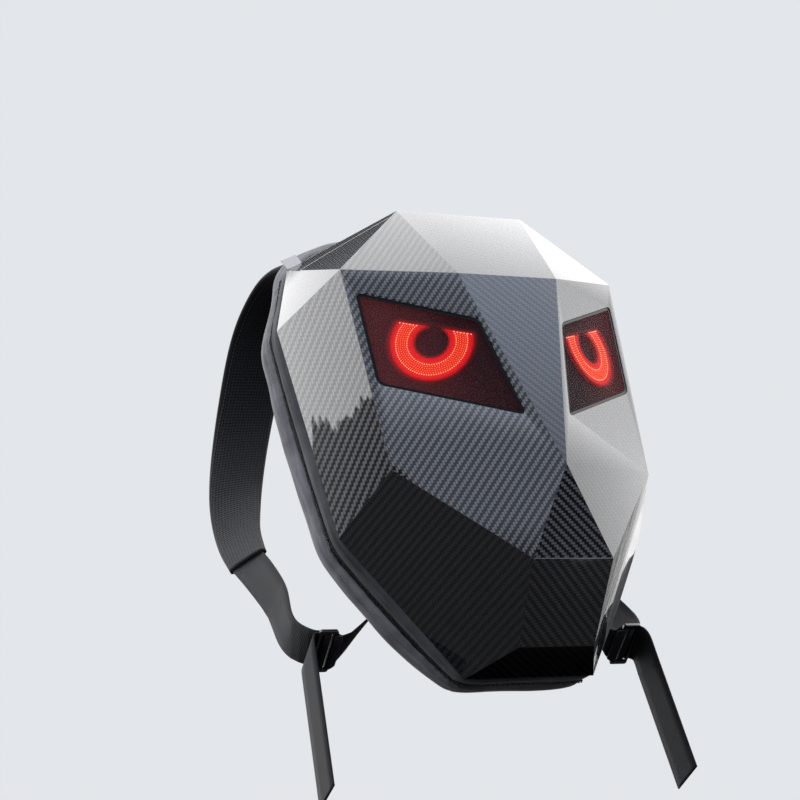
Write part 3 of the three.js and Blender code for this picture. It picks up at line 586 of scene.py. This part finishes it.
def arc_spots(row_mm, pitch_mm):
    """Places along one arc of the horseshoe, from one arm's end to the other's."""
    radius = row_mm * MM
    lift = math.asin(min(CHORD_HEIGHT / radius, 1)) - 1.2 * MM / radius
    span = math.pi + 2 * lift
    count = round(span * radius / (pitch_mm * MM))
    angles = [lift - span * i / count for i in range(count + 1)]
    return [(radius * math.cos(a), radius * math.sin(a)) for a in angles]


def end_spots(pitch_mm):
    """Places along the straight ends of both arms."""
    first, last = (value * MM for value in END_ROW_MM)
    count = round((last - first) / (pitch_mm * MM))
    height = CHORD_HEIGHT - 0.9 * MM
    return [(way_x * (first + (last - first) * i / count), height)
            for way_x in (-1, 1) for i in range(count + 1)]


def add_diodes(bm, place, spots, size_mm, slot):
    """Sets low domes on the board's face."""
    before = set(bm.faces)
    scale = Matrix.Diagonal((size_mm * MM, size_mm * MM, DOME_HEIGHT, 1))
    for x, y in spots:
        spot = Matrix.Translation(Vector((x, y, BOARD_LIFT)))
        bmesh.ops.create_icosphere(bm, subdivisions=1, radius=1, matrix=place @ spot @ scale)
    for face in set(bm.faces) - before:
        face.material_index = slot


for side in SIDES:
    place = RING_PLACES[side]
    board_bm = cad_copy(f"led_ring_{side}")
    outward = place.col[2].xyz
    front_level = max(v.co.dot(outward) for v in board_bm.verts)
    front_verts = [v for v in board_bm.verts if front_level - v.co.dot(outward) < 0.5 * MM]
    bmesh.ops.translate(board_bm, verts=front_verts, vec=outward * BOARD_LIFT)
    for row in BRIGHT_ROWS_MM:
        add_diodes(board_bm, place, arc_spots(row, DIODE_PITCH_MM), 0.62, 2)
    for row in FINE_ROWS_MM:
        add_diodes(board_bm, place, arc_spots(row, DIODE_PITCH_MM), 0.5, 1)
    add_diodes(board_bm, place, end_spots(2.9), 0.65, 3)
    board = piece_from(board_bm, f"diode_board_{side}", smooth=False)
    tie(board, "led_light", [board_material(side), FINE_DIODE, BRIGHT_DIODE, WHITE_DIODE],
        f"led_ring_{side}")
    print("diode board", side, "faces:", len(board.data.polygons))

# %% [markdown]
# The trays behind the windows are plain matt black mouldings, so the frame's own nodes stay
# and only get a finish with the fine grain of a moulded surface.

# %% Trays
TRAY_BLACK, tray_tree, tray_shader = new_material(
    "matt_black_moulded_abs", Base_Color=linear("#0b0b0c"), Roughness=0.6,
)
tray_place = add(tray_tree, "ShaderNodeTexCoord").outputs["Object"]
tray_grain = add(tray_tree, "ShaderNodeTexNoise", {"Vector": tray_place, "Scale": 1500.0}).outputs[0]
tray_bump = add(tray_tree, "ShaderNodeBump", {
    "Height": tray_grain, "Strength": 0.25, "Distance": 0.1 * MM,
}).outputs[0]
tray_tree.links.new(tray_bump, tray_shader.inputs["Normal"])
for side in SIDES:
    tray = nodes[f"led_housing_{side}"]
    tray.data.materials.clear()
    tray.data.materials.append(TRAY_BLACK)

# %% [markdown]
# The cloth band runs round the rim: a cover over the zip, the zip itself, and a padded roll
# over a plain gusset. All are woven nylon. The weave follows the band, so each piece gets a
# map of its own: the first direction is the length along the rim and the second the depth.

# %% Rim line and cloth
def rim_outline():
    """Corners of the shell's rim in order, as pairs of X and Z."""
    mesh = nodes["shell"].data
    rear = max(v.co.y for v in mesh.vertices)
    near = [v.co for v in mesh.vertices if rear - v.co.y < 0.5 * MM]
    flat = sorted({(round(p.x, 5), round(p.z, 5)) for p in near})
    return [flat[i] for i in convex_hull_2d(flat)]


RIM = rim_outline()
RIM_LENGTHS = [math.dist(RIM[i], RIM[(i + 1) % len(RIM)]) for i in range(len(RIM))]
RIM_TOTAL = sum(RIM_LENGTHS)
print("rim corners:", len(RIM), "length in mm:", round(RIM_TOTAL / MM))


def along_rim(x, z):
    """Length along the rim at the rim's nearest point to a place."""
    best_gap, best_length, travelled = 9.0, 0.0, 0.0
    for i, length in enumerate(RIM_LENGTHS):
        ax, az = RIM[i]
        bx, bz = RIM[(i + 1) % len(RIM)]
        share = ((x - ax) * (bx - ax) + (z - az) * (bz - az)) / length ** 2
        share = min(max(share, 0.0), 1.0)
        gap = math.hypot(ax + share * (bx - ax) - x, az + share * (bz - az) - z)
        if gap < best_gap:
            best_gap, best_length = gap, travelled + share * length
        travelled += length
    return best_length


CLOTH_MAP = "cloth"


def map_band(mesh):
    """Lays the cloth's map on a band: length along the rim and depth behind it."""
    lengths = [along_rim(v.co.x, v.co.z) for v in mesh.vertices]
    layer = mesh.uv_layers.new(name=CLOTH_MAP)
    for polygon in mesh.polygons:
        first = lengths[mesh.loops[polygon.loop_start].vertex_index]
        for index in polygon.loop_indices:
            vertex = mesh.vertices[mesh.loops[index].vertex_index]
            length = lengths[vertex.index]
            if length - first > RIM_TOTAL / 2:
                length -= RIM_TOTAL
            elif first - length > RIM_TOTAL / 2:
                length += RIM_TOTAL
            layer.data[index].uv = (length, vertex.co.y)


def woven_cloth(name, dark, pale, thread_mm, sheen):
    """Plain-weave nylon: two sets of threads, worn a little paler in random places, with painted shade that
    darkens the weave's dips and the hollows of the folds.
    """
    material, tree, shader = new_material(
        name, Roughness=0.8, Specular_IOR_Level=0.2, Sheen_Weight=sheen, Sheen_Roughness=0.45,
    )
    place = add(tree, "ShaderNodeUVMap", uv_map=CLOTH_MAP).outputs[0]
    turns = math.pi / (thread_mm * MM)
    scaled = add(tree, "ShaderNodeVectorMath", {0: place, "Scale": turns}, operation="SCALE").outputs[0]
    axes = add(tree, "ShaderNodeSeparateXYZ", {0: scaled}).outputs
    warp = add(tree, "ShaderNodeMath", {0: axes["X"]}, operation="SINE").outputs[0]
    weft = add(tree, "ShaderNodeMath", {0: axes["Y"]}, operation="SINE").outputs[0]
    weave = add(tree, "ShaderNodeMath", {0: warp, 1: weft}, operation="MULTIPLY").outputs[0]
    height = add(tree, "ShaderNodeMath", {0: weave, 1: 0.5, 2: 0.5}, operation="MULTIPLY_ADD").outputs[0]
    blotch = add(tree, "ShaderNodeTexNoise", {
        "Vector": place, "Scale": 34.0, "Detail": 6.0, "Roughness": 0.62,
    }).outputs[0]
    # Painted shade: the colour follows the weave's height and, below, the folds' height, darker in their dips
    # and paler on their crests.
    painted_weave_shade_and_blotch = add(tree, "ShaderNodeMath", {0: height, 1: 0.45, 2: blotch}, operation="MULTIPLY_ADD").outputs[0]
    folds = add(tree, "ShaderNodeMapping", {0: place, "Scale": (16.0, 210.0, 1.0)}).outputs[0]
    fold = add(tree, "ShaderNodeTexNoise", {"Vector": folds, "Scale": 1.0, "Detail": 2.0}).outputs[0]
    painted_fold_shade_and_blotch = add(tree, "ShaderNodeMath", {0: fold, 1: 1.1, 2: painted_weave_shade_and_blotch}, operation="MULTIPLY_ADD").outputs[0]
    share = add(tree, "ShaderNodeMapRange", {"Value": painted_fold_shade_and_blotch, "From Min": 0.75, "From Max": 1.7}).outputs[0]
    colour = add(tree, "ShaderNodeMix", {0: share, 6: linear(dark), 7: linear(pale)},
                 data_type="RGBA").outputs[2]
    folded = add(tree, "ShaderNodeBump", {"Height": fold, "Strength": 0.8, "Distance": 1.6 * MM}).outputs[0]
    bump = add(tree, "ShaderNodeBump", {
        "Height": height, "Strength": 0.3, "Distance": 0.2 * MM, "Normal": folded,
    }).outputs[0]
    tree.links.new(colour, shader.inputs["Base Color"])
    tree.links.new(bump, shader.inputs["Normal"])
    return material


BAND_NYLON = woven_cloth("dark_woven_nylon", "#1d1e21", "#5a5b61", 0.7, 0.12)
ROLL_NYLON = woven_cloth("grey_woven_nylon", "#37383d", "#8b8c93", 0.8, 0.2)

# %% [markdown]
# Cloth never keeps the straight facets of a solid. Each band piece starts as a merged copy
# with its triangles joined to quads and is rounded by one to three levels of subdivision. The
# zip cover and the roll are then pushed in and out a little by slow noise and by short puckers where a seam
# gathers them.

# %% Soft copies
def soft_copy(node_name, piece_name, levels):
    bm = cad_copy(node_name, flat=False)
    bmesh.ops.join_triangles(
        bm, faces=bm.faces, angle_face_threshold=math.radians(50),
        angle_shape_threshold=math.radians(80),
    )
    piece = piece_from(bm, piece_name)
    rounding = piece.modifiers.new("rounding", "SUBSURF")
    rounding.levels = levels
    rounding.render_levels = levels
    return apply_modifiers(piece)


def pucker(piece, slow_mm, short_mm, seam_back, seam_width):
    """Moves each point along its normal by slow noise and, near a seam, by short puckers."""
    mesh = piece.data
    shifts = []
    for vertex in mesh.vertices:
        length = along_rim(vertex.co.x, vertex.co.z)
        slow = noise.noise(Vector((length * 26, vertex.co.y * 40, 3.1)))
        near_seam = math.exp(-((vertex.co.y - seam_back) / seam_width) ** 2)
        short = noise.noise(Vector((length * 150, vertex.co.y * 30, 8.7)))
        shifts.append(vertex.normal * (slow * slow_mm + short * near_seam * short_mm) * MM)
    for vertex, shift in zip(mesh.vertices, shifts):
        vertex.co += shift


cover = soft_copy("zip_cover", "zip_cover_cloth", 2)
pucker(cover, 0.35, 0.5, -45 * MM, 5 * MM)
map_band(cover.data)
tie(cover, "band_cloth", [BAND_NYLON], "zip_cover")

gusset = soft_copy("gusset", "gusset_cloth", 1)
map_band(gusset.data)
tie(gusset, "band_cloth", [BAND_NYLON], "gusset")

roll = soft_copy("edge_roll", "padded_edge_roll", 3)
pucker(roll, 1.3, 1.2, -37 * MM, 8 * MM)
map_band(roll.data)
tie(roll, "roll_cloth", [ROLL_NYLON], "edge_roll")
print("roll faces:", len(roll.data.polygons))

# %% [markdown]
# The zip is a cloth tape with two rows of moulded teeth that mesh. The crown of the frame's
# plain coil gives the line, and one tooth is set every couple of millimetres along it, with
# neighbours on opposite sides of the middle.

# %% Zip
TOOTH_PITCH = 2.4 * MM
TOOTH_SIZE = Vector((1.5, 2.0, 1.3)) * MM
TAPE_DROP = 1.2 * MM


def coil_line():
    """Crown points of the coil, in order round the pack."""
    mesh = nodes["zip_coil"].data
    depths = [v.co.y for v in mesh.vertices]
    middle = (min(depths) + max(depths)) / 2
    crown = {}
    for vertex in mesh.vertices:
        if abs(vertex.co.y - middle) < 0.3 * MM:
            key = (round(vertex.co.x, 4), round(vertex.co.z, 4))
            crown[key] = vertex.co.copy()
    return sorted(crown.values(), key=lambda p: math.atan2(p.z, p.x))


def set_teeth(line):
    bm = bmesh.new()
    travelled, number = 0.0, 0
    for i, start in enumerate(line):
        end = line[(i + 1) % len(line)]
        along = (end - start).normalized()
        outward = along.cross(Vector((0, 1, 0))).normalized()
        if outward.dot(Vector((start.x, 0, start.z))) < 0:
            outward = -outward
        while travelled < (end - start).length:
            side_step = 0.55 * MM * (1 if number % 2 else -1)
            spot = start + along * travelled + Vector((0, side_step, 0)) - outward * TOOTH_SIZE.z / 2
            axes = Matrix((along, Vector((0, 1, 0)), outward)).transposed().to_4x4()
            bmesh.ops.create_cube(
                bm, size=1, matrix=Matrix.Translation(spot) @ axes @ Matrix.Diagonal((*TOOTH_SIZE, 1)),
            )
            travelled += TOOTH_PITCH
            number += 1
        travelled -= (end - start).length
    bmesh.ops.recalc_face_normals(bm, faces=bm.faces)
    bmesh.ops.bevel(
        bm, geom=bm.edges, offset=0.35 * MM, offset_type="OFFSET", segments=1, profile=0.5,
        affect="EDGES", clamp_overlap=True, material=-1,
    )
    return bm, number


TOOTH_BLACK, _, _ = new_material(
    "black_moulded_acetal_teeth", Base_Color=linear("#101012"), Roughness=0.32,
)
teeth_bm, tooth_count = set_teeth(coil_line())
teeth = piece_from(teeth_bm, "zip_teeth", smooth=False)
tie(teeth, "zip_black", [TOOTH_BLACK], "zip_coil")

tape_bm = cad_copy("zip_coil", flat=False)
for vertex in tape_bm.verts:
    inward = Vector((-vertex.co.x, 0, -vertex.co.z)).normalized()
    vertex.co += inward * TAPE_DROP
tape = piece_from(tape_bm, "zip_tape")
map_band(tape.data)
tie(tape, "zip_black", [BAND_NYLON], "zip_coil")
print("zip teeth:", tooth_count)

# %% [markdown]
# Straps and webbing are strips. Each frame strip is a chain of equal sections, so walking from
# one end, section by section, gives the length at every corner. That length and the place
# across the strip are the cloth's map, which lets ribs and stitches follow every bend.

# %% Strips
def walk_sections(bm, ends):
    """Sections of a strip in order, each as a list of its corners, from the given end."""
    sections, done = [list(ends)], set(ends)
    while True:
        following = {e.other_vert(v) for v in sections[-1] for e in v.link_edges} - done
        if not following:
            return sections
        sections.append(list(following))
        done |= following


def strip_copy(node_name, piece_name, end_test, levels, crease):
    """A rounded copy of a strip whose map holds the length along it and the place across."""
    bm = cad_copy(node_name, flat=False)
    sections = walk_sections(bm, [v for v in bm.verts if end_test(v.co)])
    bmesh.ops.join_triangles(
        bm, faces=bm.faces, angle_face_threshold=math.radians(70),
        angle_shape_threshold=math.radians(85),
    )
    level_of, length_of, across_of = {}, {}, {}
    middle, travelled, axis = None, 0.0, None
    for number, section in enumerate(sections):
        centre = sum((v.co for v in section), Vector()) / len(section)
        if middle is not None:
            travelled += (centre - middle).length
        middle = centre
        far = max(section, key=lambda v: (v.co - centre).length)
        new_axis = (far.co - centre).normalized()
        axis = new_axis if axis is None or new_axis.dot(axis) > 0 else -new_axis
        for vertex in section:
            level_of[vertex] = number
            length_of[vertex] = travelled
            across_of[vertex] = (vertex.co - centre).dot(axis)
    layer = bm.loops.layers.uv.new(CLOTH_MAP)
    for face in bm.faces:
        for loop in face.loops:
            loop[layer].uv = (across_of[loop.vert], length_of[loop.vert])
    crease_layer = bm.edges.layers.float.new("crease_edge")
    for edge in bm.edges:
        first, second = (level_of[vertex] for vertex in edge.verts)
        at_end = first == second and first in (0, len(sections) - 1)
        if at_end or (crease and first != second):
            edge[crease_layer] = 1.0
    piece = piece_from(bm, piece_name)
    rounding = piece.modifiers.new("rounding", "SUBSURF")
    rounding.levels = levels
    rounding.render_levels = levels
    apply_modifiers(piece)
    print(piece_name, "sections:", len(sections), "length in mm:", round(travelled / MM))
    return piece


def ribbed_webbing():
    """Woven polyester webbing with ribs across it and fine threads along it."""
    material, tree, shader = new_material(
        "ribbed_polyester_webbing", Roughness=0.65, Specular_IOR_Level=0.12, Sheen_Weight=0.05,
        Sheen_Roughness=0.4,
    )
    place = add(tree, "ShaderNodeUVMap", uv_map=CLOTH_MAP).outputs[0]
    axes = add(tree, "ShaderNodeSeparateXYZ", {0: place}).outputs
    rib_turn = add(tree, "ShaderNodeMath", {0: axes["Y"], 1: 2 * math.pi / (1.9 * MM)},
                   operation="MULTIPLY").outputs[0]
    rib = add(tree, "ShaderNodeMath", {0: rib_turn}, operation="SINE").outputs[0]
    thread_turn = add(tree, "ShaderNodeMath", {0: axes["X"], 1: 2 * math.pi / (1.5 * MM)},
                      operation="MULTIPLY").outputs[0]
    thread = add(tree, "ShaderNodeMath", {0: thread_turn}, operation="SINE").outputs[0]
    height = add(tree, "ShaderNodeMath", {0: thread, 1: 0.35, 2: rib}, operation="MULTIPLY_ADD").outputs[0]
    # Painted shade: the colour follows the ribs' height, paler on the crests and darker in the dips.
    share = add(tree, "ShaderNodeMapRange", {"Value": height, "From Min": -1.3, "From Max": 1.3}).outputs[0]
    colour = add(tree, "ShaderNodeMix", {0: share, 6: linear("#0b0c0e"), 7: linear("#37383c")},
                 data_type="RGBA").outputs[2]
    bump = add(tree, "ShaderNodeBump", {"Height": share, "Strength": 0.5, "Distance": 0.3 * MM}).outputs[0]
    tree.links.new(colour, shader.inputs["Base Color"])
    tree.links.new(bump, shader.inputs["Normal"])
    return material


WEBBING = ribbed_webbing()
lowest = min(v.co.z for v in nodes["lower_webbing_left"].data.vertices)

for side in SIDES:
    webbing = strip_copy(f"lower_webbing_{side}", f"webbing_and_tail_{side}",
                         lambda p: p.z < lowest + 6 * MM, 2, True)
    tie(webbing, "webbing", [WEBBING], f"lower_webbing_{side}")
    inmost = min(abs(v.co.x) for v in nodes[f"anchor_tab_{side}"].data.vertices)
    tab = strip_copy(f"anchor_tab_{side}", f"sewn_anchor_tab_{side}",
                     lambda p: abs(p.x) < inmost + 1.6 * MM, 2, True)
    tie(tab, "webbing", [WEBBING], f"anchor_tab_{side}")

# %% [markdown]
# The slider is one moulded frame with three bars. Its own solid is right, so a copy only gets
# its edges rounded, which draws the bright lines along the bars.

# %% Slider buckles
SLIDER, slider_tree, slider_shader = new_material(
    "black_moulded_acetal_slider", Base_Color=linear("#1b1c1e"), Roughness=0.22, Coat_Weight=0.5,
    Coat_Roughness=0.1,
)
slider_place = add(slider_tree, "ShaderNodeTexCoord").outputs["Object"]
slider_grain = add(slider_tree, "ShaderNodeTexNoise", {"Vector": slider_place, "Scale": 700.0}).outputs[0]
slider_bump = add(slider_tree, "ShaderNodeBump", {
    "Height": slider_grain, "Strength": 0.15, "Distance": 0.1 * MM,
}).outputs[0]
slider_tree.links.new(slider_bump, slider_shader.inputs["Normal"])
for side in SIDES:
    buckle = piece_from(round_edges(cad_copy(f"slider_buckle_{side}"), 0.5 * MM, 3, 30),
                        f"slider_{side}")
    tie(buckle, "buckle_plastic", [SLIDER], f"slider_buckle_{side}")

# %% [markdown]
# The shoulder straps are foam in spacer mesh. Each copy is rounded like a pillow along its
# edges, and a smooth binding tape with one row of stitches closes the mesh along both edges.

# %% Shoulder straps
BINDING_FROM = 25 * MM
STITCH_FROM_MIDDLE = 26.8 * MM
STITCH_LENGTH = 4 * MM


def bind_edges(tree, place, colour, height):
    """Lays the binding tape and its stitches over the mesh's colour and height."""
    axes = add(tree, "ShaderNodeSeparateXYZ", {0: place}).outputs
    across = add(tree, "ShaderNodeMath", {0: axes["X"]}, operation="ABSOLUTE").outputs[0]
    binding = map_value(tree, across, BINDING_FROM - 0.4 * MM, BINDING_FROM + 0.4 * MM)
    beside = add(tree, "ShaderNodeMath", {0: across, 1: STITCH_FROM_MIDDLE}, operation="SUBTRACT").outputs[0]
    gap = add(tree, "ShaderNodeMath", {0: beside}, operation="ABSOLUTE").outputs[0]
    on_row = map_value(tree, gap, 0.7 * MM, 0.3 * MM)
    turn = add(tree, "ShaderNodeMath", {0: axes["Y"], 1: STITCH_LENGTH}, operation="DIVIDE").outputs[0]
    share = add(tree, "ShaderNodeMath", {0: turn}, operation="FRACT").outputs[0]
    on_stitch = add(tree, "ShaderNodeMath", {0: share, 1: 0.7}, operation="LESS_THAN").outputs[0]
    stitch = add(tree, "ShaderNodeMath", {0: on_row, 1: on_stitch}, operation="MULTIPLY").outputs[0]
    taped = add(tree, "ShaderNodeMix", {0: binding, 6: colour, 7: linear("#141518")},
                data_type="RGBA").outputs[2]
    sewn = add(tree, "ShaderNodeMix", {0: stitch, 6: taped, 7: linear("#4c4d52")},
               data_type="RGBA").outputs[2]
    raised = add(tree, "ShaderNodeMix", {0: binding, 2: height, 3: 1.4}).outputs[0]
    return sewn, add(tree, "ShaderNodeMath", {0: stitch, 1: 0.6, 2: raised},
                     operation="MULTIPLY_ADD").outputs[0]


def spacer_mesh(name, bound):
    """Knitted spacer mesh: rows of small open eyes, each painted darker towards its middle as painted shade
    in its hollow.
    """
    material, tree, shader = new_material(
        name, Roughness=0.85, Specular_IOR_Level=0.2, Sheen_Weight=0.2, Sheen_Roughness=0.5,
    )
    place = add(tree, "ShaderNodeUVMap", uv_map=CLOTH_MAP).outputs[0]
    eyes = add(tree, "ShaderNodeTexVoronoi", {
        "Vector": place, "Scale": 1 / (3.2 * MM), "Randomness": 0.12,
    }).outputs["Distance"]
    height = add(tree, "ShaderNodeMapRange", {"Value": eyes, "From Min": 0.18, "From Max": 0.5}).outputs[0]
    # Painted shade: the colour follows the eyes' height, darker in each hollow.
    colour = add(tree, "ShaderNodeMix", {0: height, 6: linear("#0b0b0d"), 7: linear("#2f3035")},
                 data_type="RGBA").outputs[2]
    if bound:
        colour, height = bind_edges(tree, place, colour, height)
    bump = add(tree, "ShaderNodeBump", {"Height": height, "Strength": 0.7, "Distance": 0.6 * MM}).outputs[0]
    tree.links.new(colour, shader.inputs["Base Color"])
    tree.links.new(bump, shader.inputs["Normal"])
    return material


STRAP_MESH = spacer_mesh("bound_spacer_mesh", True)
PANEL_MESH = spacer_mesh("black_spacer_mesh", False)


def sewn_end(side):
    """Tells whether a point lies on the end of the strap that is sewn to the panel."""
    flat = [v.co for v in nodes[f"shoulder_strap_{side}"].data.vertices if v.co.y < 9 * MM]
    low = min(p.z for p in flat)
    return lambda p: p.y < 9 * MM and p.z < low + 1.5 * MM


for side in SIDES:
    strap = strip_copy(f"shoulder_strap_{side}", f"padded_shoulder_strap_{side}", sewn_end(side), 2, False)
    tie(strap, "padding_mesh", [STRAP_MESH], f"shoulder_strap_{side}")

# %% [markdown]
# The back panel is foam under the same mesh, sewn in channels so that air can pass. Cloth
# simulation swells it: the sewn lines and the edge are pinned, and pressure lifts the pads
# between them. A cap on how far a point may move keeps the pads in the frame's space.

# %% Back panel
PANEL_VOXEL = 5 * MM
PAD_RISE = 5 * MM
CHANNEL_HALF = 9 * MM
CHANNEL_HEIGHTS_MM = (95, 0, -95)
SWELL_FRAMES = 16


def channel_share(place):
    """1 on a sewn channel of the wearer's side, 0 away from all of them."""
    gaps = [abs(place.x) / CHANNEL_HALF]
    gaps += [abs(place.z - height * MM) / (0.6 * CHANNEL_HALF) for height in CHANNEL_HEIGHTS_MM]
    return max(0.0, 1 - min(gaps) ** 2) if min(gaps) < 1 else 0.0


def make_panel():
    panel = piece_from(cad_copy("back_panel", flat=False), "quilted_back_panel")
    remesh = panel.modifiers.new("voxels", "REMESH")
    remesh.mode = "VOXEL"
    remesh.voxel_size = PANEL_VOXEL
    apply_modifiers(panel)
    mesh = panel.data
    pins = panel.vertex_groups.new(name="sewn")
    start = []
    for vertex in mesh.vertices:
        rear = max(0.0, min(1.0, (vertex.co.y + 6 * MM) / (4 * MM)))
        sunk = PAD_RISE * rear * (0.9 + 1.1 * channel_share(vertex.co))
        vertex.co.y -= sunk
        held = 1.0 if rear < 0.5 or channel_share(vertex.co) > 0.15 else 0.0
        pins.add([vertex.index], held, "REPLACE")
        start.append(vertex.co.copy())
    swell = panel.modifiers.new("swell", "CLOTH")
    swell.settings.use_pressure = True
    swell.settings.uniform_pressure_force = 4
    swell.settings.vertex_group_mass = "sewn"
    swell.settings.effector_weights.gravity = 0
    swell.point_cache.frame_end = SWELL_FRAMES
    for frame_number in range(1, SWELL_FRAMES + 1):
        scene.frame_set(frame_number)
    apply_modifiers(panel)
    for vertex, before in zip(panel.data.vertices, start):
        move = vertex.co - before
        if move.length > PAD_RISE:
            move.length = PAD_RISE
        vertex.co = before + move
        vertex.co.y = min(vertex.co.y, -0.2 * MM)
    smoothing = panel.modifiers.new("rounding", "SUBSURF")
    smoothing.levels = 1
    smoothing.render_levels = 1
    apply_modifiers(panel)
    layer = panel.data.uv_layers.new(name=CLOTH_MAP)
    for loop in panel.data.loops:
        place = panel.data.vertices[loop.vertex_index].co
        layer.data[loop.index].uv = (place.x, place.z)
    for polygon in panel.data.polygons:
        polygon.use_smooth = True
    scene.frame_set(1)
    return panel


panel = make_panel()
tie(panel, "padding_mesh", [PANEL_MESH], "back_panel")
print("panel faces:", len(panel.data.polygons))

# %% [markdown]
# The side label is a folded woven tab, left blank, with a fold line and a soft curl.

# %% Side label
LABEL_CLOTH, label_tree, label_shader = new_material("pale_woven_label", Roughness=0.85, Sheen_Weight=0.2)
label_place = add(label_tree, "ShaderNodeTexCoord").outputs["Object"]
label_grain = add(label_tree, "ShaderNodeTexNoise", {"Vector": label_place, "Scale": 900.0}).outputs[0]
label_colour = add(label_tree, "ShaderNodeMix", {
    0: label_grain, 6: linear("#d6d8d6"), 7: linear("#f4f5f3"),
}, data_type="RGBA").outputs[2]
label_tree.links.new(label_colour, label_shader.inputs["Base Color"])
label_bm = round_edges(cad_copy("side_label"), 0.25 * MM, 2, 30)
label = piece_from(label_bm, "blank_side_label", smooth=False)
tie(label, "label_cloth", [LABEL_CLOTH], "side_label")
